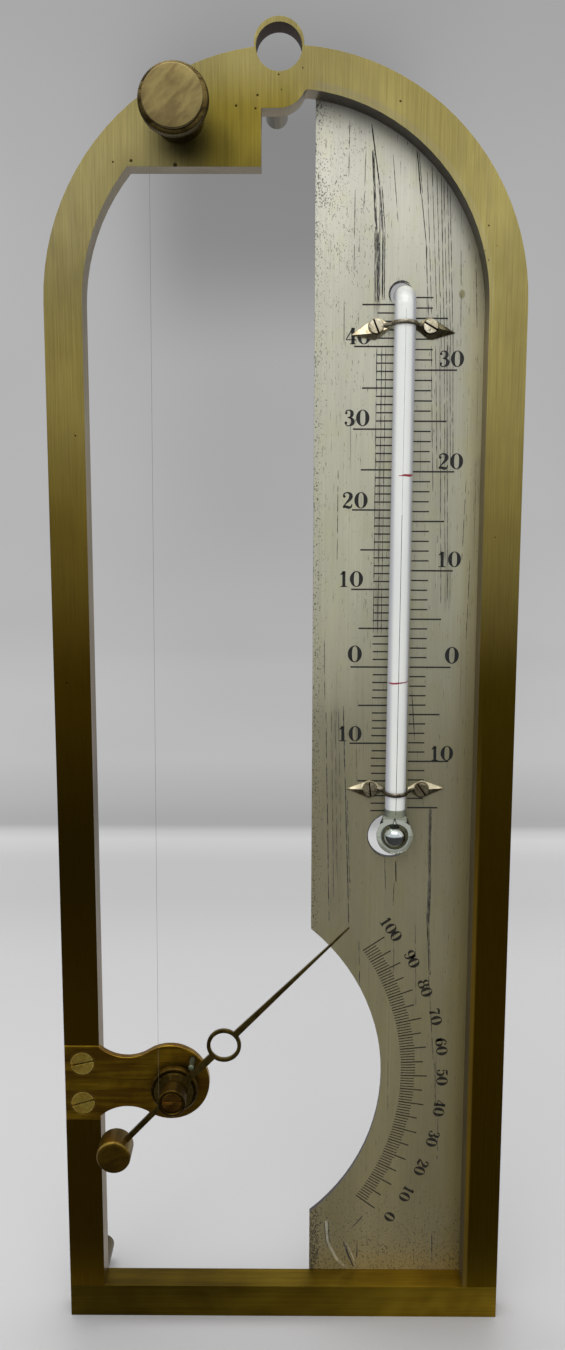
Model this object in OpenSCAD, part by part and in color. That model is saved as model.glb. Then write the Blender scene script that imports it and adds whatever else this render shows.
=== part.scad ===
// Hair hygrometer with a thermometer: a brass arch frame, a silvered scale plate behind it, a pointer
// that turns on a bracket, and a knob that takes up the hair.
// Sizes are in millimetres. X is to the right, Y from the front to the wall, Z up.
// The shapes are drawn about the centre of the arch on the frame's front face, and place() then moves
// them so that the origin is the middle of the hanging eye.

/* [Frame] */
// Outer width of the frame
frame_w = 119.4; // [112:0.2:136]
// Thickness of the frame from front to back
frame_t = 7.6; // [6.4:0.2:10]
// Width of the side bars
bar_w = 9.5; // [8.4:0.1:11]
// How far the curve of the arch lies below a half circle about its centre
crown_drop = 0.6; // [0:0.1:1.6]
// How much wider the arch is at its crown than the side bars
crown_extra = 0.3; // [0:0.1:1.6]
// Length of the side bars below the centre of the arch
leg_h = 267.6; // [250:0.2:300]
// Height of the base bar
base_h = 9.2; // [7.6:0.1:12]
// Height of the web's lower edge above the centre of the arch
web_z = 31.3; // [28:0.1:34]
// Distance from the centre line to the web's right edge
web_x = 6; // [4.5:0.5:7.5]

/* [Hanging eye] */
// Radius of the hole in the hanging eye
eye_r = 5.55; // [4.5:0.05:6]
// Wall of the eye above the hole
eye_rim = 1.3; // [1.1:0.1:2]
// Wall of the eye beside the hole
eye_side = 0.5; // [0.4:0.1:1]
// How far the eye lies left of the centre line
eye_shift = 1.7; // [0:0.1:2.5]
// How far the middle of the eye lies below the crown of the arch
eye_drop = 0.45; // [0:0.05:1.5]
// Radius of the small fillet beside the boss under the eye
boss_fillet = 1.2; // [0.8:0.1:2]
// Radius of the boss under the eye
boss_r = 6.9; // [6:0.1:8]
// Distance from the middle of the eye down to the middle of the boss
boss_drop = 7; // [6:0.1:8]

/* [Feet at the back] */
// Radius of the three feet
foot_r = 2.85; // [2.2:0.05:3.2]
// Length of the feet behind the frame
foot_len = 17.5; // [12:0.5:24]
// Radius of the rounded edge at the end of a foot
foot_round = 0.8; // [0.3:0.1:1.2]
// Height of the lower feet above the bottom of the frame
foot_up = 5.2; // [4.4:0.1:6]
// How far the lower feet lie inside the middle of the side bars
foot_in = 1; // [0:0.1:1.2]
// Metal between the hole of the eye and the upper foot
foot_gap = 1.2; // [0.2:0.05:1.6]
// How far the upper foot lies left of the middle of the eye
foot_side = 0.8; // [0:0.1:1.4]

/* [Scale plate] */
// Thickness of the scale plate
plate_t = 1.5; // [1:0.1:2.5]
// Width of the scale plate that shows beside the right bar
plate_show = 42.9; // [40:0.1:46]
// How far the scale plate laps behind the frame
plate_lap = 6.6; // [5:0.1:7]
// Radius of the round cut-out beside the pointer
cut_r = 55.2; // [50:0.1:57]
// How far the centre of the arc scale lies right of the pivot
arc_dx = 1.4; // [0:0.1:2]
// How far the centre of the arc scale lies below the pivot
arc_dz = 0.8; // [0:0.1:2]

/* [Thermometer] */
// Radius of the thermometer tube
tube_r = 2.75; // [2:0.05:3]
// Distance from the plate's left edge to the tube
tube_in = 22.4; // [20:0.1:24]
// Height of the tube's bent end above the centre of the arch
tube_top = 2; // [0:0.1:6]
// Distance from the tube's bent end to the middle of the bulb
tube_len = 140; // [130:0.1:150]
// Radius of the bore in the tube
bore_r = 0.3; // [0.2:0.05:0.5]
// Radius of the glass bulb
bulb_r = 4.9; // [4:0.05:5.4]
// Wall of the glass bulb
bulb_wall = 1.3; // [0.5:0.1:1.5]
// Length of the mercury thread above the middle of the bulb
thread_len = 86.1; // [20:0.1:120]
// How far the hole for the bulb is larger than the bulb
bulb_gap = 1.1; // [0.6:0.1:1.6]
// How far the hole for the tube's bent end is larger than that end
end_hole_gap = 0.75; // [0.7:0.05:1]

/* [Clips] */
// Width of the band that crosses the tube
band_w = 1.1; // [0.8:0.1:1.6]
// Thickness of the band
band_t = 0.5; // [0.4:0.05:0.8]
// Distance from the tube to the tip of a leaf
leaf_tip = 13.1; // [11.5:0.1:15]
// Half the height of a leaf
leaf_half = 2.35; // [2.1:0.05:3]
// Thickness of a leaf
leaf_t = 0.7; // [0.5:0.1:1.2]
// Distance from the tube to the clip screws
clip_screw_x = 6.9; // [6.3:0.1:8]
// Radius of the clip screws' heads
clip_head_r = 1.85; // [1.5:0.05:2]
// Distance from the tube's upper end to the upper clip
upper_clip_down = 7.4; // [6:0.1:20]
// Distance from the middle of the bulb to the lower clip
lower_clip_up = 12.3; // [9:0.1:20]

/* [Bracket] */
// Thickness of the bracket
bracket_t = 2; // [1.6:0.1:3]
// Height of the bracket where it lies in the side bar
bracket_h = 21.7; // [20:0.1:26]
// Radius of the bracket's round end
bracket_r = 10.6; // [10.3:0.1:11.4]
// How far the bracket's round end lies left of the pivot
bracket_back = 1.3; // [0:0.1:1.6]
// How far the bracket's round end lies above the pivot
bracket_lift = 0.4; // [0:0.1:1]
// Height of the bracket's neck
neck_h = 14.2; // [12:0.1:16]
// Distance from the middle of the round end to the thinnest part of the neck
neck_in = 11.8; // [10.8:0.1:12.5]
// Distance between the two bracket screws
bracket_pitch = 11.5; // [9.5:0.1:13]
// Radius of the bracket screws' heads
bracket_head_r = 3.25; // [2.5:0.05:3.6]

/* [Pointer] */
// Distance from the side bar to the pivot
hub_in = 20.6; // [19:0.1:22]
// Height of the pivot above the base bar
hub_up = 60.8; // [50:0.1:80]
// Angle of the pointer above the horizontal when it rests on the stop pin
rest_angle = 45; // [40:1:48]
// Length of the pointer from the pivot to the tip
pointer_len = 66; // [60:0.5:70]
// Thickness of the pointer
pointer_t = 0.8; // [0.5:0.1:1.2]
// Width of the pointer between the pivot and the ring
pointer_w = 1.9; // [1.4:0.1:2.4]
// Width of the pointer just outside the ring
needle_w = 1.7; // [1.2:0.1:2.2]
// Width of the pointer at its tip
tip_w = 0.3; // [0.2:0.05:0.6]
// Width of the tail that carries the counterweight
tail_w = 1.5; // [1.2:0.1:2]
// Angle by which the tail is out of line with the pointer
tail_bend = 1.7; // [0:0.1:4]
// Distance from the pivot to the middle of the ring
ring_in = 19.2; // [17:0.1:24]
// Outer radius of the ring
ring_r = 4.6; // [3.5:0.1:5.5]
// Width of the ring's metal
ring_w = 1; // [0.7:0.1:1.4]
// Distance from the pivot to the counterweight
weight_in = 23.5; // [21:0.1:26]
// Radius of the counterweight
weight_r = 4.6; // [3.8:0.05:5]
// Length of the counterweight
weight_len = 7.8; // [6.6:0.1:8.5]

/* [Drum and pivot] */
// Radius of the drum that the hair winds on
drum_r = 3.6; // [3.3:0.1:4]
// Radius of the drum's flange
flange_r = 6.4; // [5.6:0.1:7]
// Thickness of the drum's flange
flange_t = 2; // [1.4:0.1:2.4]
// Distance from the bracket to the flange
flange_gap = 1.8; // [1.2:0.1:2.4]
// Radius of the eye by which the pointer sits on the drum
pointer_eye_r = 5.3; // [4.7:0.1:5.6]
// Length of the pointer's eye along the drum
pointer_eye_t = 1.2; // [1.1:0.1:1.8]
// Length of the drum in front of the pointer
drum_len = 5.7; // [4.5:0.1:7]
// Radius of the pivot that the drum turns on
pivot_r = 1.5; // [1.2:0.05:1.8]
// Radius of the pivot screw's head
pivot_head_r = 2.75; // [2.3:0.05:2.9]
// Radius of the stop pin
stop_r = 0.75; // [0.5:0.05:0.9]
// Distance from the pivot to the stop pin along the pointer
stop_in = 8.5; // [8.2:0.1:8.8]

/* [Knob] */
// Distance from the side bar to the knob
knob_in = 24.4; // [22:0.1:28]
// Height of the knob above the web's lower edge
knob_up = 11.5; // [10:0.1:13]
// Radius of the knob over its knurled edge
knob_r = 8.25; // [7:0.05:9]
// Radius of the knob's front face
knob_face_r = 7.1; // [6:0.05:7.6]
// How far the knob's face stands in front of the frame
knob_out = 17.2; // [15:0.1:20]
// Width of the knurled edge
knurl_w = 3.2; // [2.4:0.1:4]
// Number of grooves in the knurled edge
knurl_count = 90; // [60:2:110]
// Depth of the knurled grooves
knurl_d = 0.22; // [0.15:0.01:0.3]
// Radius of the knob's neck
neck_r = 6.2; // [5:0.1:7]
// Radius of the spindle in the web
spindle_r = 2.5; // [2:0.1:3]

/* [Hair] */
// Radius of the strand of hair
hair_r = 0.06; // [0.05:0.01:0.15]

/* [Fits] */
// Running clearance of the pivot and the spindle, on the radius
run_gap = 0.05; // [0.03:0.01:0.09]
// Clearance between pieces that are fastened together
seat_gap = 0.05; // [0.02:0.01:0.08]
// End play of the drum and of the knob
end_gap = 0.15; // [0.1:0.05:0.3]
// Space between the turning pieces and what lies behind them
swing_gap = 0.6; // [0.4:0.1:1]

/* [Hidden] */
$fn = 96;
eps = 0.01;
blend = 0.02;

outer_r = frame_w / 2;
inner_r = outer_r - bar_w;
outer_c = [0, -crown_drop];
inner_c = [0, -crown_drop - crown_extra];
base_top = -leg_h;
frame_bottom = base_top - base_h;
bar_mid = inner_r + bar_w / 2;

eye = [-eye_shift, outer_r - crown_drop - eye_drop];
rim_c = [eye[0], eye[1] + eye_rim - eye_side];
rim_r = eye_r + eye_side;
boss = [eye[0], eye[1] - boss_drop];

foot_end = frame_t + foot_len;
stud_r = foot_r * 0.5;
stud_len = 3;
top_foot = [eye[0] - foot_side, eye[1] - eye_r - foot_gap - foot_r];
low_foot = [bar_mid - foot_in, frame_bottom + foot_up];

plate_left = inner_r - plate_show;
plate_right = inner_r + plate_lap;
plate_back = frame_t + plate_t;
plate_low = base_top - 5;
foot_clear = 1.2;

tube_x = plate_left + tube_in;
tube_y = frame_t - tube_r - seat_gap;
tube_bend = tube_r + seat_gap;
bulb_z = tube_top - tube_len;
cavity_r = bulb_r - bulb_wall;
nib_r = tube_r * 0.8;
nib_len = 1;

hub = [-inner_r + hub_in, base_top + hub_up];
arc_c = [hub[0] + arc_dx, hub[1] - arc_dz];

flange_y = -flange_gap;
pointer_y = flange_y - flange_t;
pointer_front = pointer_y - pointer_eye_t;
drum_front = pointer_front - drum_len;
head_deep = 1.3;
head_play = 0.3;
head_y = drum_front + head_deep + head_play;
recess_r = pivot_head_r + 0.1;
thread_r = pivot_r * 0.8;
nut_t = 1.8;

knob = [-inner_r + knob_in, web_z + knob_up];
knob_face_y = -knob_out;
bead_t = 1.3;
bead_groove = 0.4;
knurl_y = knob_face_y + bead_t + bead_groove;
knurl_back = knurl_y + knurl_w;
washer_t = 0.7;

stop_side = pointer_w / 2 + stop_r + 0.02;
stop_proud = 0.2;
weight_y = -swing_gap;

hair_lift = hair_r + seat_gap;
hair_y = (pointer_front + drum_front) / 2;
hair_wrap = 200;

// One of the two points where a circle about a meets a circle about b; side is 1 or -1
function meet(a, ra, b, rb, side) =
    let (d = norm(b - a),
         u = (b - a) / d,
         s = (ra * ra - rb * rb + d * d) / (2 * d),
         h = sqrt(ra * ra - s * s))
    a + s * u + side * h * [-u[1], u[0]];

function polar(r, angle) = r * [cos(angle), sin(angle)];

// Moves what is drawn about the arch so that the middle of the eye is the origin
module place() {
    translate([-eye[0], -frame_t / 2, -eye[1]]) children();
}

// Extrudes an outline drawn in X and Z from y0 back to y1
module slab(y0, y1) {
    translate([0, y1, 0]) rotate([90, 0, 0]) linear_extrude(y1 - y0) children();
}

// A round bar along Y from y0 back to y1, with its middle at point p in X and Z
module rod(p, y0, y1, r) {
    translate([p[0], y0, p[1]]) rotate([-90, 0, 0]) cylinder(h = y1 - y0, r = r);
}

// A cone along Y with radius r0 at y0 and r1 at y1
module taper(p, y0, y1, r0, r1) {
    translate([p[0], y0, p[1]]) rotate([-90, 0, 0]) cylinder(h = y1 - y0, r1 = r0, r2 = r1);
}

// The concave corner between two circles of metal, filled up to a fillet of radius f about c; root and
// far are points in the metal beyond the two ends of the fillet
module corner_fill(root, far, c, f) {
    difference() {
        polygon([root, c, far]);
        translate(c) circle(r = f);
    }
}

// Frame

module frame_outline() {
    translate(outer_c) circle(r = outer_r, $fn = 180);
    translate([-outer_r, base_top]) square([frame_w, leg_h - crown_drop]);
    translate(rim_c) circle(r = rim_r);
}

module window_outline() {
    c = meet(inner_c, inner_r - boss_fillet + blend, boss, boss_r + boss_fillet - blend, -1);
    far = inner_c + (c - inner_c) * (inner_r + boss_fillet) / (inner_r - boss_fillet);
    difference() {
        union() {
            translate(inner_c) circle(r = inner_r, $fn = 180);
            translate([-inner_r, base_top - 1]) square([2 * inner_r, leg_h + 1 + inner_c[1]]);
        }
        translate([-outer_r, web_z]) square([outer_r - web_x, outer_r]);
        translate([-web_x - eps, boss[1] - boss_r + blend]) square([web_x + eps + boss[0], boss_r]);
        translate(boss) circle(r = boss_r);
        corner_fill(boss, far, c, boss_fillet);
    }
}

function bracket_screw(s) = [-bar_mid, hub[1] + s * bracket_pitch / 2];
function base_screw(s) = [s * bar_mid, frame_t * 0.37];

plate_screw_r = 1.1;
plate_screw_in = 3.2;
plate_screw_deep = 3.5;
arc_screw_angle = [28, 62];
bar_screw_z = [-leg_h * 0.2, -leg_h * 0.55];
plate_screw_at = concat(
    [for (a = arc_screw_angle) outer_c + polar(plate_right - plate_screw_in, a)],
    [for (z = bar_screw_z) [plate_right - plate_screw_in, z]],
    [[plate_left + 7, plate_low + plate_screw_in - 0.4],
     [tube_x + 12, plate_low + plate_screw_in - 0.4]]);

base_screw_r = 1.2;
base_screw_head = 2.2;
base_screw_len = base_h + 7;
bracket_screw_r = 1.5;
bracket_cone = 1.5;
bracket_screw_end = frame_t - 1.4;

module arch_frame() {
    color("#a08f45") place() difference() {
        slab(0, frame_t) difference() {
            intersection() {
                frame_outline();
                translate([-outer_r, base_top]) square([frame_w, leg_h + 2 * outer_r]);
            }
            window_outline();
        }
        rod(eye, -1, frame_t + 1, eye_r);
        rod(knob, -1, frame_t + 1, spindle_r + run_gap);
        translate([-outer_r - 1, -1, hub[1] - bracket_h / 2 - seat_gap])
            cube([bar_w + 2, 1 + bracket_t + seat_gap, bracket_h + 2 * seat_gap]);
        for (s = [1, -1])
            rod(bracket_screw(s), 0, bracket_screw_end + seat_gap, bracket_screw_r + seat_gap);
        rod(top_foot, frame_t - stud_len - seat_gap, frame_t + 1, stud_r + seat_gap);
        for (p = plate_screw_at)
            if (p[1] > base_top) rod(p, frame_t - plate_screw_deep - seat_gap, frame_t + 1, plate_screw_r + seat_gap);
        for (s = [1, -1])
            translate([base_screw(s)[0], base_screw(s)[1], frame_bottom])
                cylinder(h = base_screw_len + seat_gap, r = base_screw_r + seat_gap);
    }
}

module base_bar() {
    color("#6e6126") place() difference() {
        slab(0, frame_t)
            translate([-outer_r, frame_bottom]) square([frame_w, base_h]);
        for (s = [1, -1]) {
            translate([base_screw(s)[0], base_screw(s)[1], frame_bottom - 1])
                cylinder(h = base_h + 2, r = base_screw_r + seat_gap);
            translate([base_screw(s)[0], base_screw(s)[1], frame_bottom - eps])
                cylinder(h = 1.2 + seat_gap, r1 = base_screw_head + seat_gap, r2 = base_screw_r + seat_gap);
            rod([s * low_foot[0], low_foot[1]], frame_t - stud_len - seat_gap, frame_t + 1,
                stud_r + seat_gap);
        }
        for (p = plate_screw_at)
            if (p[1] < base_top) rod(p, frame_t - plate_screw_deep - seat_gap, frame_t + 1, plate_screw_r + seat_gap);
    }
}

module base_screws() {
    color("#b39a4c") place() for (s = [1, -1])
        translate([base_screw(s)[0], base_screw(s)[1], frame_bottom]) difference() {
            union() {
                cylinder(h = 1.2, r1 = base_screw_head, r2 = base_screw_r);
                cylinder(h = base_screw_len, r = base_screw_r);
            }
            translate([-base_screw_head - 1, -0.3, -1]) cube([2 * base_screw_head + 2, 0.6, 1.6]);
        }
}

// Feet that hold the frame off the wall

module foot(p) {
    color("#8d7c3a") place() translate([p[0], frame_t, p[1]]) rotate([-90, 0, 0]) {
        translate([0, 0, -stud_len]) cylinder(h = stud_len + eps, r = stud_r);
        cylinder(h = foot_len - foot_round, r = foot_r);
        translate([0, 0, foot_len - foot_round]) cylinder(h = foot_round, r = foot_r - foot_round);
        translate([0, 0, foot_len - foot_round]) rotate_extrude() intersection() {
            translate([foot_r - foot_round, 0]) circle(r = foot_round);
            translate([foot_r - foot_round, 0]) square([foot_round, foot_round]);
        }
    }
}

module foot_top() {
    foot(top_foot);
}

module foot_left() {
    foot([-low_foot[0], low_foot[1]]);
}

module foot_right() {
    foot(low_foot);
}

// Scale plate

module plate_outline() {
    difference() {
        intersection() {
            union() {
                translate(outer_c) circle(r = plate_right, $fn = 180);
                translate([0, plate_low]) square([plate_right, -plate_low - crown_drop]);
            }
            translate([plate_left, plate_low]) square([frame_w, frame_w - plate_low]);
        }
        translate(arc_c) circle(r = cut_r, $fn = 180);
        translate(low_foot) circle(r = foot_r + foot_clear);
    }
}

function clip_z(upper) = upper ? tube_top - upper_clip_down : bulb_z + lower_clip_up;
clip_screw_r = 0.9;

module scale_plate() {
    color("#b5b5a4") place() difference() {
        slab(frame_t, plate_back) plate_outline();
        rod([tube_x - 0.4, tube_top + 0.5], frame_t - 1, plate_back + 1, nib_r + end_hole_gap);
        rod([tube_x - 1.2, bulb_z - 0.8], frame_t - 1, plate_back + 1, bulb_r + bulb_gap);
        for (p = plate_screw_at)
            rod(p, frame_t - 1, plate_back + 1, plate_screw_r + seat_gap);
        for (upper = [true, false], s = [1, -1])
            rod([tube_x + s * clip_screw_x, clip_z(upper)], frame_t - 1, plate_back + 1,
                clip_screw_r + seat_gap);
    }
}

module plate_screws() {
    head = 1;
    color("#b39a4c") place() for (p = plate_screw_at) difference() {
        union() {
            rod(p, frame_t - plate_screw_deep, plate_back + eps, plate_screw_r);
            rod(p, plate_back, plate_back + head, plate_screw_r * 1.9);
        }
        translate([p[0] - 3, plate_back + head - 0.5, p[1] - 0.25]) cube([6, 1, 0.5]);
    }
}

// Thermometer

module tube_bend_solid(r) {
    translate([tube_x, tube_y + tube_bend, tube_top - tube_bend]) rotate([0, 90, 0])
        rotate([0, 0, 180]) rotate_extrude(angle = 90) translate([tube_bend, 0]) circle(r = r);
}

module thermometer_tube() {
    color("#eef0f4") place() difference() {
        union() {
            translate([tube_x, tube_y, bulb_z]) cylinder(h = tube_len - tube_bend, r = tube_r);
            tube_bend_solid(tube_r);
            rod([tube_x, tube_top], frame_t - eps, plate_back + nib_len, nib_r);
            translate([tube_x, tube_y, bulb_z]) sphere(r = bulb_r);
        }
        translate([tube_x, tube_y, bulb_z]) sphere(r = cavity_r);
        translate([tube_x, tube_y, bulb_z]) cylinder(h = tube_len - 3 * tube_bend, r = bore_r);
    }
}

module mercury() {
    color("#8f9296") place() translate([tube_x, tube_y, bulb_z]) {
        sphere(r = cavity_r - 0.02);
        cylinder(h = thread_len, r = bore_r - 0.02);
    }
}

module clip(upper) {
    band_in = tube_r + seat_gap;
    band_out = band_in + band_t;
    root = band_out;
    z = clip_z(upper);
    color("#9c9475") place() translate([tube_x, 0, z]) difference() {
        union() {
            translate([0, tube_y, -band_w / 2]) linear_extrude(band_w) difference() {
                union() {
                    circle(r = band_out);
                    translate([-band_out, 0]) square([2 * band_out, frame_t - tube_y]);
                }
                circle(r = band_in);
                translate([-band_in, 0]) square([2 * band_in, frame_t]);
            }
            for (s = [1, -1])
                slab(frame_t - leaf_t, frame_t) polygon([
                    [s * band_in, -band_w / 2], [s * root, -band_w / 2],
                    [s * clip_screw_x, -leaf_half], [s * leaf_tip, -0.12],
                    [s * leaf_tip, 0.12], [s * clip_screw_x, leaf_half],
                    [s * root, band_w / 2], [s * band_in, band_w / 2]]);
        }
        for (s = [1, -1])
            rod([s * clip_screw_x, 0], 0, frame_t + 1, clip_screw_r + seat_gap);
    }
}

module upper_clip() {
    clip(true);
}

module lower_clip() {
    clip(false);
}

// The slots of the two screws of a clip are turned by the two angles
module clip_screws(upper, turns) {
    head = 0.9;
    front = frame_t - leaf_t - head;
    color("#b3a57c") place() for (i = [0, 1])
        translate([tube_x + (2 * i - 1) * clip_screw_x, 0, clip_z(upper)]) difference() {
            union() {
                rod([0, 0], front, frame_t - leaf_t, clip_head_r);
                rod([0, 0], frame_t - leaf_t - eps, plate_back + 0.4, clip_screw_r);
            }
            rotate([0, turns[i], 0]) translate([-clip_head_r - 1, front - 1, -0.22])
                cube([2 * clip_head_r + 2, 1.45, 0.44]);
        }
}

module upper_clip_screws() {
    clip_screws(true, [68, 30]);
}

module lower_clip_screws() {
    clip_screws(false, [85, 55]);
}

// Bracket

module bracket_outline() {
    fillet_r = (neck_in * neck_in + neck_h * neck_h / 4 - bracket_r * bracket_r)
             / (2 * bracket_r - neck_h);
    end = hub + [-bracket_back, bracket_lift];
    neck_x = end[0] - neck_in;
    fillet_z = neck_h / 2 + fillet_r;
    touch = polar(bracket_r, atan2(fillet_z, -neck_in));
    difference() {
        union() {
            translate([-outer_r, hub[1] - bracket_h / 2]) square([neck_x + outer_r, bracket_h]);
            translate([neck_x, end[1] - touch[1]]) square([neck_in + touch[0], 2 * touch[1]]);
            translate(end) circle(r = bracket_r);
        }
        intersection() {
            translate([-inner_r, hub[1] - bracket_h]) square([inner_r, 2 * bracket_h]);
            for (s = [1, -1])
                translate([neck_x, end[1] + s * fillet_z]) circle(r = fillet_r);
        }
    }
}

module bearing_bracket() {
    color("#7d6a22") place() difference() {
        slab(0, bracket_t) bracket_outline();
        rod(hub, -1, bracket_t + 1, thread_r + seat_gap);
        rod(stop_at, -1, bracket_t + 1, stop_r + seat_gap);
        for (s = [1, -1]) {
            rod(bracket_screw(s), -1, bracket_t + 1, bracket_screw_r + seat_gap);
            taper(bracket_screw(s), -eps, bracket_cone, bracket_head_r + seat_gap, bracket_screw_r + seat_gap);
        }
    }
}

module bracket_screw_solid(s, turn) {
    p = bracket_screw(s);
    color("#a3935a") place() difference() {
        union() {
            taper(p, 0, bracket_cone, bracket_head_r, bracket_screw_r);
            rod(p, bracket_cone - eps, bracket_screw_end, bracket_screw_r);
        }
        translate([p[0], -1, p[1]]) rotate([0, -turn, 0]) translate([-bracket_head_r - 1, 0, -0.25])
            cube([2 * bracket_head_r + 2, 1.6, 0.5]);
    }
}

module bracket_screw_upper() {
    bracket_screw_solid(1, 12);
}

module bracket_screw_lower() {
    bracket_screw_solid(-1, 16);
}

along = polar(1, rest_angle);
stop_at = hub + stop_in * along + stop_side * [-along[1], along[0]];

module stop_pin() {
    color("#b39a4c") place()
        rod(stop_at, pointer_front - stop_proud, bracket_t, stop_r);
}

module pivot_screw() {
    slot = 0.55;
    color("#8a6a30") place() difference() {
        union() {
            rod(hub, head_y - head_deep, head_y, pivot_head_r);
            rod(hub, head_y - eps, eps, pivot_r);
            rod(hub, 0, bracket_t + nut_t + 0.5, thread_r);
        }
        translate([hub[0] - pivot_head_r - 1, head_y - head_deep - 1, hub[1] - slot / 2])
            cube([2 * pivot_head_r + 2, 1.6, slot]);
    }
}

module pivot_nut() {
    color("#8d7c3a") place() difference() {
        rod(hub, bracket_t, bracket_t + nut_t, pivot_head_r);
        rod(hub, bracket_t - 1, bracket_t + nut_t + 1, thread_r + seat_gap);
    }
}

// Pointer

module hair_drum() {
    color("#6b5a24") place() difference() {
        union() {
            rod(hub, drum_front, flange_y, drum_r);
            rod(hub, pointer_y, flange_y, flange_r);
            rod(hub, flange_y - eps, -end_gap, pivot_r + 1.2);
        }
        rod(hub, drum_front - 1, 0, pivot_r + run_gap);
        rod(hub, drum_front - 1, head_y + seat_gap, recess_r);
        rod(hub + polar(5.7, 22), pointer_y - 1, 0, 0.5);
    }
}

module pointer_outline() {
    ring_out = ring_in + ring_r;
    difference() {
        union() {
            circle(r = pointer_eye_r);
            translate([0, -pointer_w / 2]) square([ring_in - ring_r + ring_w / 2, pointer_w]);
            translate([ring_in, 0]) circle(r = ring_r);
            polygon([[ring_out - ring_w / 2, -needle_w / 2], [pointer_len, -tip_w / 2],
                     [pointer_len, tip_w / 2], [ring_out - ring_w / 2, needle_w / 2]]);
            rotate(180 + tail_bend) translate([0, -tail_w / 2]) square([weight_in, tail_w]);
        }
        translate([ring_in, 0]) circle(r = ring_r - ring_w);
        circle(r = drum_r + 0.02);
    }
}

module pointer() {
    color("#8a7524") place() difference() {
        translate([hub[0], 0, hub[1]]) rotate([0, -rest_angle, 0]) difference() {
            union() {
                slab(pointer_front, pointer_front + pointer_t) pointer_outline();
                slab(pointer_front, pointer_y) difference() {
                    circle(r = pointer_eye_r);
                    circle(r = drum_r + 0.02);
                }
            }
            rod(polar(weight_in, 180 + tail_bend), pointer_front - 1, 0, weight_r);
        }
    }
}

module counterweight() {
    color("#85712c") place()
        rod(hub + polar(weight_in, rest_angle + 180 + tail_bend), weight_y - weight_len, weight_y, weight_r);
}

// Knob

module adjusting_knob() {
    step = 360 / knurl_count;
    color("#85795a") place() difference() {
        union() {
            rod(knob, knob_face_y, knurl_y, knob_face_r - 0.5);
            rod(knob, knob_face_y, knob_face_y + bead_t, knob_face_r);
            rod(knob, knurl_y, knurl_back, knob_r);
            rod(knob, knurl_back - eps, -end_gap, neck_r);
        }
        for (i = [0 : knurl_count - 1])
            translate([knob[0], knurl_y - 1, knob[1]]) rotate([0, i * step, 0])
                translate([knob_r, 0, 0]) rotate([0, 45, 0])
                    translate([-knurl_d, 0, -knurl_d]) cube([2 * knurl_d, knurl_w + 2, 2 * knurl_d]);
        rod(knob, knurl_y, 0, spindle_r);
    }
}

module knob_spindle() {
    end = frame_t + washer_t + nut_t + 1;
    color("#8d7c3a") place() rod(knob, knurl_y, end, spindle_r);
}

module friction_washer() {
    color("#b39a4c") place() difference() {
        rod(knob, frame_t, frame_t + washer_t, neck_r);
        rod(knob, frame_t - 1, frame_t + washer_t + 1, spindle_r + run_gap);
    }
}

module spindle_nut() {
    nut_y = frame_t + washer_t + seat_gap;
    color("#8d7c3a") place() difference() {
        rod(knob, nut_y, nut_y + nut_t, neck_r - 0.6);
        rod(knob, nut_y - 1, nut_y + nut_t + 1, spindle_r);
    }
}

// Hair, from the knob's neck down to the left side of the drum

function hair_ring(p, angle) = [for (i = [0 : 7])
    let (a = i * 45 + 22.5, out = hair_r * cos(a))
    [p[0] + out * cos(angle), hair_y + hair_r * sin(a), p[1] + out * sin(angle)]];

module hair() {
    r_low = drum_r + hair_lift;
    r_high = neck_r + hair_lift;
    span = norm(knob - hub);
    toward = atan2(knob[1] - hub[1], knob[0] - hub[0]);
    start = toward + 90 + asin((r_high - r_low) / span);
    step = 8;
    turns = [0 : step : hair_wrap];
    rings = concat(
        [for (a = turns) hair_ring(hub + polar(r_low, start + hair_wrap - a), start + hair_wrap - a)],
        [for (a = turns) hair_ring(knob + polar(r_high, start - a), start - a)]);
    last = len(rings) - 1;
    color("#c9b38a") place() polyhedron(
        points = [for (ring = rings, p = ring) p],
        faces = concat(
            [[for (i = [0 : 7]) i]],
            [for (k = [0 : last - 1], i = [0 : 7])
                let (j = (i + 1) % 8)
                [8 * k + i, 8 * k + 8 + i, 8 * k + 8 + j, 8 * k + j]],
            [[for (i = [7 : -1 : 0]) 8 * last + i]]));
}

arch_frame();
base_bar();
base_screws();
foot_top();
foot_left();
foot_right();
scale_plate();
plate_screws();
thermometer_tube();
mercury();
upper_clip();
lower_clip();
upper_clip_screws();
lower_clip_screws();
bearing_bracket();
bracket_screw_upper();
bracket_screw_lower();
stop_pin();
pivot_screw();
pivot_nut();
hair_drum();
pointer();
counterweight();
adjusting_knob();
knob_spindle();
friction_washer();
spindle_nut();
hair();
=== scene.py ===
"""The looks of a hair hygrometer: finishes, marks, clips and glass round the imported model."""
import math
import random

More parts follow.
